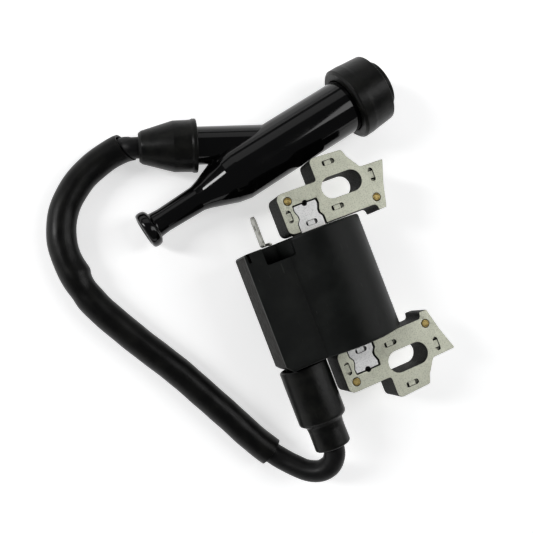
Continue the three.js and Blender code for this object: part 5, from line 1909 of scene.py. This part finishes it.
@dataclass
class PlugCap:
    """The spark plug cap: a moulded main tube with a pull handle, and a branch for the lead."""

    tube_end: float = 87.5
    parting_line: float = 0.03
    shoulder_at: float = 35.5
    neck_at: float = 23.5
    shoulder: float = 9.38
    tube: float = 9.2
    handle: float = 4.0
    flange: float = 6.2
    bore_at: float = 49.5
    bore: float = 4.3
    socket_bore: float = 7.0
    socket_bore_at: float = 74.5
    branch: float = 6.25
    branch_length: float = 41.0
    branch_bore: float = 3.9
    branch_bore_at: float = 5.0
    seal_at: float = 80.8
    seal_length: float = 11.9
    seal_back: float = 12.65
    seal_front: float = 11.85
    lip: float = 8.3
    lip_length: float = 3.0
    seal_bore: float = 6.2
    boot_at: float = 30.4
    boot_length: float = 18.4
    boot_big: float = 8.7
    boot_small: float = 5.1
    socket_end: float = 86.0
    socket_outer: float = 5.2
    socket_inner: float = 3.3
    clip_radius: float = 6.0
    clip_opening: float = 0.35
    spring_at: float = 69.7
    spring_rise: float = 4.8
    spring_radius: float = 2.9
    spring_turns: int = 3
    wire_radius: float = 0.39
    wire_dome: float = 0.3

    def build(self) -> None:
        """Build the cap's pieces, outside first."""
        self.build_body()
        self.build_boot()
        self.build_seal()
        self.build_contacts()

    def main_solid(self, name: str, corners: Corners, segments: int, seam: float = 0.0) -> Piece:
        """A solid turned about the main axis through rounded profile corners."""
        grid = turned(rounded_path(corners, 10), segments, seam)
        return Shape().add_grid(CAP.on_main(grid)).finished(name, 40)

    def branch_solid(self, name: str, corners: Corners, segments: int, seam: float = 0.0) -> Piece:
        """A solid turned about the branch's axis through rounded profile corners."""
        grid = turned(rounded_path(corners, 10), segments, seam)
        return Shape().add_grid(CAP.on_branch(grid)).finished(name, 40)

    def build_body(self) -> None:
        """The moulded body: main tube and handle, joined by the branch, with both bores cut."""
        f, h, end = self.flange, self.handle, self.tube_end
        corners = [
            (0.0, 1.5),
            (3.6, 1.4, 0.8),
            (4.7, 0.5, 0.8),
            (f - 0.1, 0.6, 1.4),
            (f + 0.05, 2.4, 1.4),
            (f - 0.3, 4.3, 1.5),
            (h + 0.3, 4.3, 1.0),
            (h, 8.0, 2.0),
            (h + 0.4, self.neck_at - 2.5, 3.0),
            (h + 1.1, self.neck_at, 2.5),
            (self.shoulder - 0.9, self.shoulder_at - 3.2, 4.0),
            (self.shoulder, self.shoulder_at + 1.0, 3.0),
            (self.tube, end, 0.5),
            (0.0, end),
        ]
        body = self.main_solid("cap_body_skin", corners, 144, self.parting_line)
        b, mouth = self.branch, self.branch_length
        arm = self.branch_solid("branch", [(0.0, 0.0), (b, 0.0), (b, mouth, 0.5), (0.0, mouth)], 112)
        combined(body, Joining.UNION, arm)
        softened(body, 0.7, 30, 4)
        bore = [(0.0, self.bore_at), (self.bore, self.bore_at), (self.bore, self.socket_bore_at)]
        bore += [(self.socket_bore, self.socket_bore_at), (self.socket_bore, end + 1), (0.0, end + 1)]
        combined(body, Joining.DIFFERENCE, self.main_solid("bore", bore, 96))
        b, root = self.branch_bore, self.branch_bore_at
        bore = [(0.0, root), (b, root), (b, mouth + 1), (0.0, mouth + 1)]
        combined(body, Joining.DIFFERENCE, self.branch_solid("branch_bore", bore, 64))
        smooth(body, 38)
        WARDROBE.dress(body, PHENOLIC, Body.CAP, "cap_phenolic", "cap_body")

    def build_boot(self) -> None:
        """The conical rubber boot between the branch and the lead."""
        at, end = self.boot_at - 0.4, self.boot_at + self.boot_length
        room, grip, step = self.branch + GAP, LEAD_RADIUS + 0.35, self.branch_length + GAP
        big, small = self.boot_big, self.boot_small
        corners = [
            (room, at, 0.2),
            (big + 0.1, at, 0.5),
            (big + 0.12, at + 1.3, 0.4),
            (big - 0.2, at + 2.0, 0.4),
            (big - 0.35, at + 7.6, 1.4),
            (small + 0.3, end - 1.0, 1.0),
            (small - 0.5, end, 0.6),
            (grip, end, 0.3),
            (grip, step, 0.3),
            (room, step, 0.3),
            (room, at, 0.2),
        ]
        piece = self.branch_solid("cap_boot_skin", corners, 96, PARTING_LINE)
        WARDROBE.dress(piece, RUBBER, Body.CAP, "rubber", "cap_boot")

    def build_seal(self) -> None:
        """The rubber seal on the mouth: a thick rim, a slight taper and a lip that wipes the plug."""
        at, front = self.seal_at, self.seal_at + self.seal_length
        room, step, lip_end = self.tube + GAP, self.tube_end + GAP, front + self.lip_length
        back, fore = self.seal_back, self.seal_front
        corners = [
            (room, at, 0.2),
            (back - 0.9, at, 0.4),
            (back, at + 0.7, 0.4),
            (back - 0.05, at + 3.8, 0.9),
            (back - 0.2, at + 4.8, 0.9),
            (fore, front, 0.35),
            (self.lip + 0.5, front - 0.1, 0.3),
            (self.lip, front + 0.3, 0.3),
            (self.lip, lip_end, 0.7),
            (self.seal_bore + 0.7, lip_end, 0.5),
            (self.seal_bore, lip_end - 1.0, 0.5),
            (self.seal_bore + 0.5, front - 1.5, 0.8),
            (self.seal_bore, front - 3.5, 0.8),
            (self.seal_bore + 0.5, front - 5.0, 0.6),
            (self.seal_bore + 0.2, step, 0.3),
            (room, step, 0.3),
            (room, at, 0.2),
        ]
        piece = self.main_solid("plug_seal_skin", corners, 144, PARTING_LINE)
        WARDROBE.dress(piece, RUBBER, Body.CAP, "rubber", "plug_seal")

    def build_contacts(self) -> None:
        """What carries the current from the lead's end to the plug."""
        start, end = self.socket_bore_at + 0.7, self.socket_end
        outer, inner, floor = self.socket_outer, self.socket_inner, start + 1.6
        cup = [
            (0.0, start),
            (outer, start, 0.5),
            (outer, start + 3, 0.3),
            (outer - 0.25, start + 3.4, 0.3),
            (outer, start + 3.8, 0.3),
            (outer, end, 0.4),
            (inner, end, 0.4),
            (inner, floor, 0.3),
            (0.0, floor),
        ]
        socket = self.main_solid("plug_socket_cup", cup, 96)
        WARDROBE.dress(socket, CONTACT_BRASS, Body.CAP, "contact_brass", "plug_socket")
        angle = np.linspace(self.clip_opening, 2 * math.pi - self.clip_opening, 97)
        self.wire("plug_clip_ring", np.full(97, end - 4.0), self.clip_radius, angle, "plug_clip")
        turn = np.linspace(0, self.spring_turns, 181)
        rise = self.spring_at + self.spring_rise * turn / self.spring_turns
        angle = 2 * math.pi * turn
        self.wire("contact_spring_wire", rise, self.spring_radius, angle, "contact_spring")
        WARDROBE.dress_node("contact_block", CONTACT_BRASS)
        WARDROBE.dress_node("cap_screw", TINPLATE)
        WARDROBE.dress_node("suppressor_resistor", CERAMIC)

    def wire(self, name: str, rise: Points, reach: float, angle: Points, node: str) -> None:
        """A round wire with domed ends, coiled about the main axis.

        Its middle line runs through (a, R cos q, R sin q), and its section lies in the plane of
        the outward direction and the one at right angles to that and to the middle line.

        Args:
            name: The piece's name.
            rise: Distance a along the axis at each station.
            reach: Radius R of the coil.
            angle: Angle q at each station.
            node: The CAD node that it replaces.
        """
        path = np.column_stack([rise, reach * np.cos(angle), reach * np.sin(angle)])
        radius = np.full((len(path), 1), self.wire_radius)
        radius[[0, -1]] = 0.0
        radius[[1, -2]] = self.wire_dome
        tangent = np.gradient(path, axis=0)
        tangent /= np.linalg.norm(tangent, axis=1, keepdims=True)
        out = path * [0, 1, 1]
        out /= np.linalg.norm(out, axis=1, keepdims=True)
        side = np.cross(tangent, out)
        around = np.linspace(0, 2 * math.pi, 16, endpoint=False)[None, :, None]
        ring = np.cos(around) * out[:, None] + np.sin(around) * side[:, None]
        grid = path[:, None] + radius[..., None] * ring
        piece = Shape().add_grid(CAP.on_main(grid)).finished(name, 60)
        WARDROBE.dress(piece, TINPLATE, Body.CAP, "plated_steel", node)


# ------------------------------------------------------------------ inside the case


@dataclass
class Inside:
    """The pieces inside the case, which keep their CAD shapes."""

    finishes: tuple[tuple[str, Finish], ...] = (
        ("primary_bobbin", NYLON),
        ("primary_winding", WINDING),
        ("secondary_bobbin", NYLON),
        ("secondary_winding", WINDING),
        ("igniter_board", BOARD),
        ("power_transistor", PACKAGE),
        ("control_chip", PACKAGE),
        ("timing_capacitor", CERAMIC),
        ("bias_resistor_upper", CERAMIC),
        ("bias_resistor_lower", CERAMIC),
        ("tower_pin", CONTACT_BRASS),
    )

    def dress(self) -> None:
        """Give each piece its finish."""
        for node, finish in self.finishes:
            WARDROBE.dress_node(node, finish)


def main() -> None:
    """Build the studio and the object, sub-assembly by sub-assembly."""
    logging.basicConfig(level=logging.INFO, format="%(message)s")
    Studio().build()
    PlugCap().build()
    Lead().build()
    Core().build()
    Case().build()
    Spade().build()
    TowerBoot().build()
    Inside().dress()


if __name__ == "__main__":
    main()
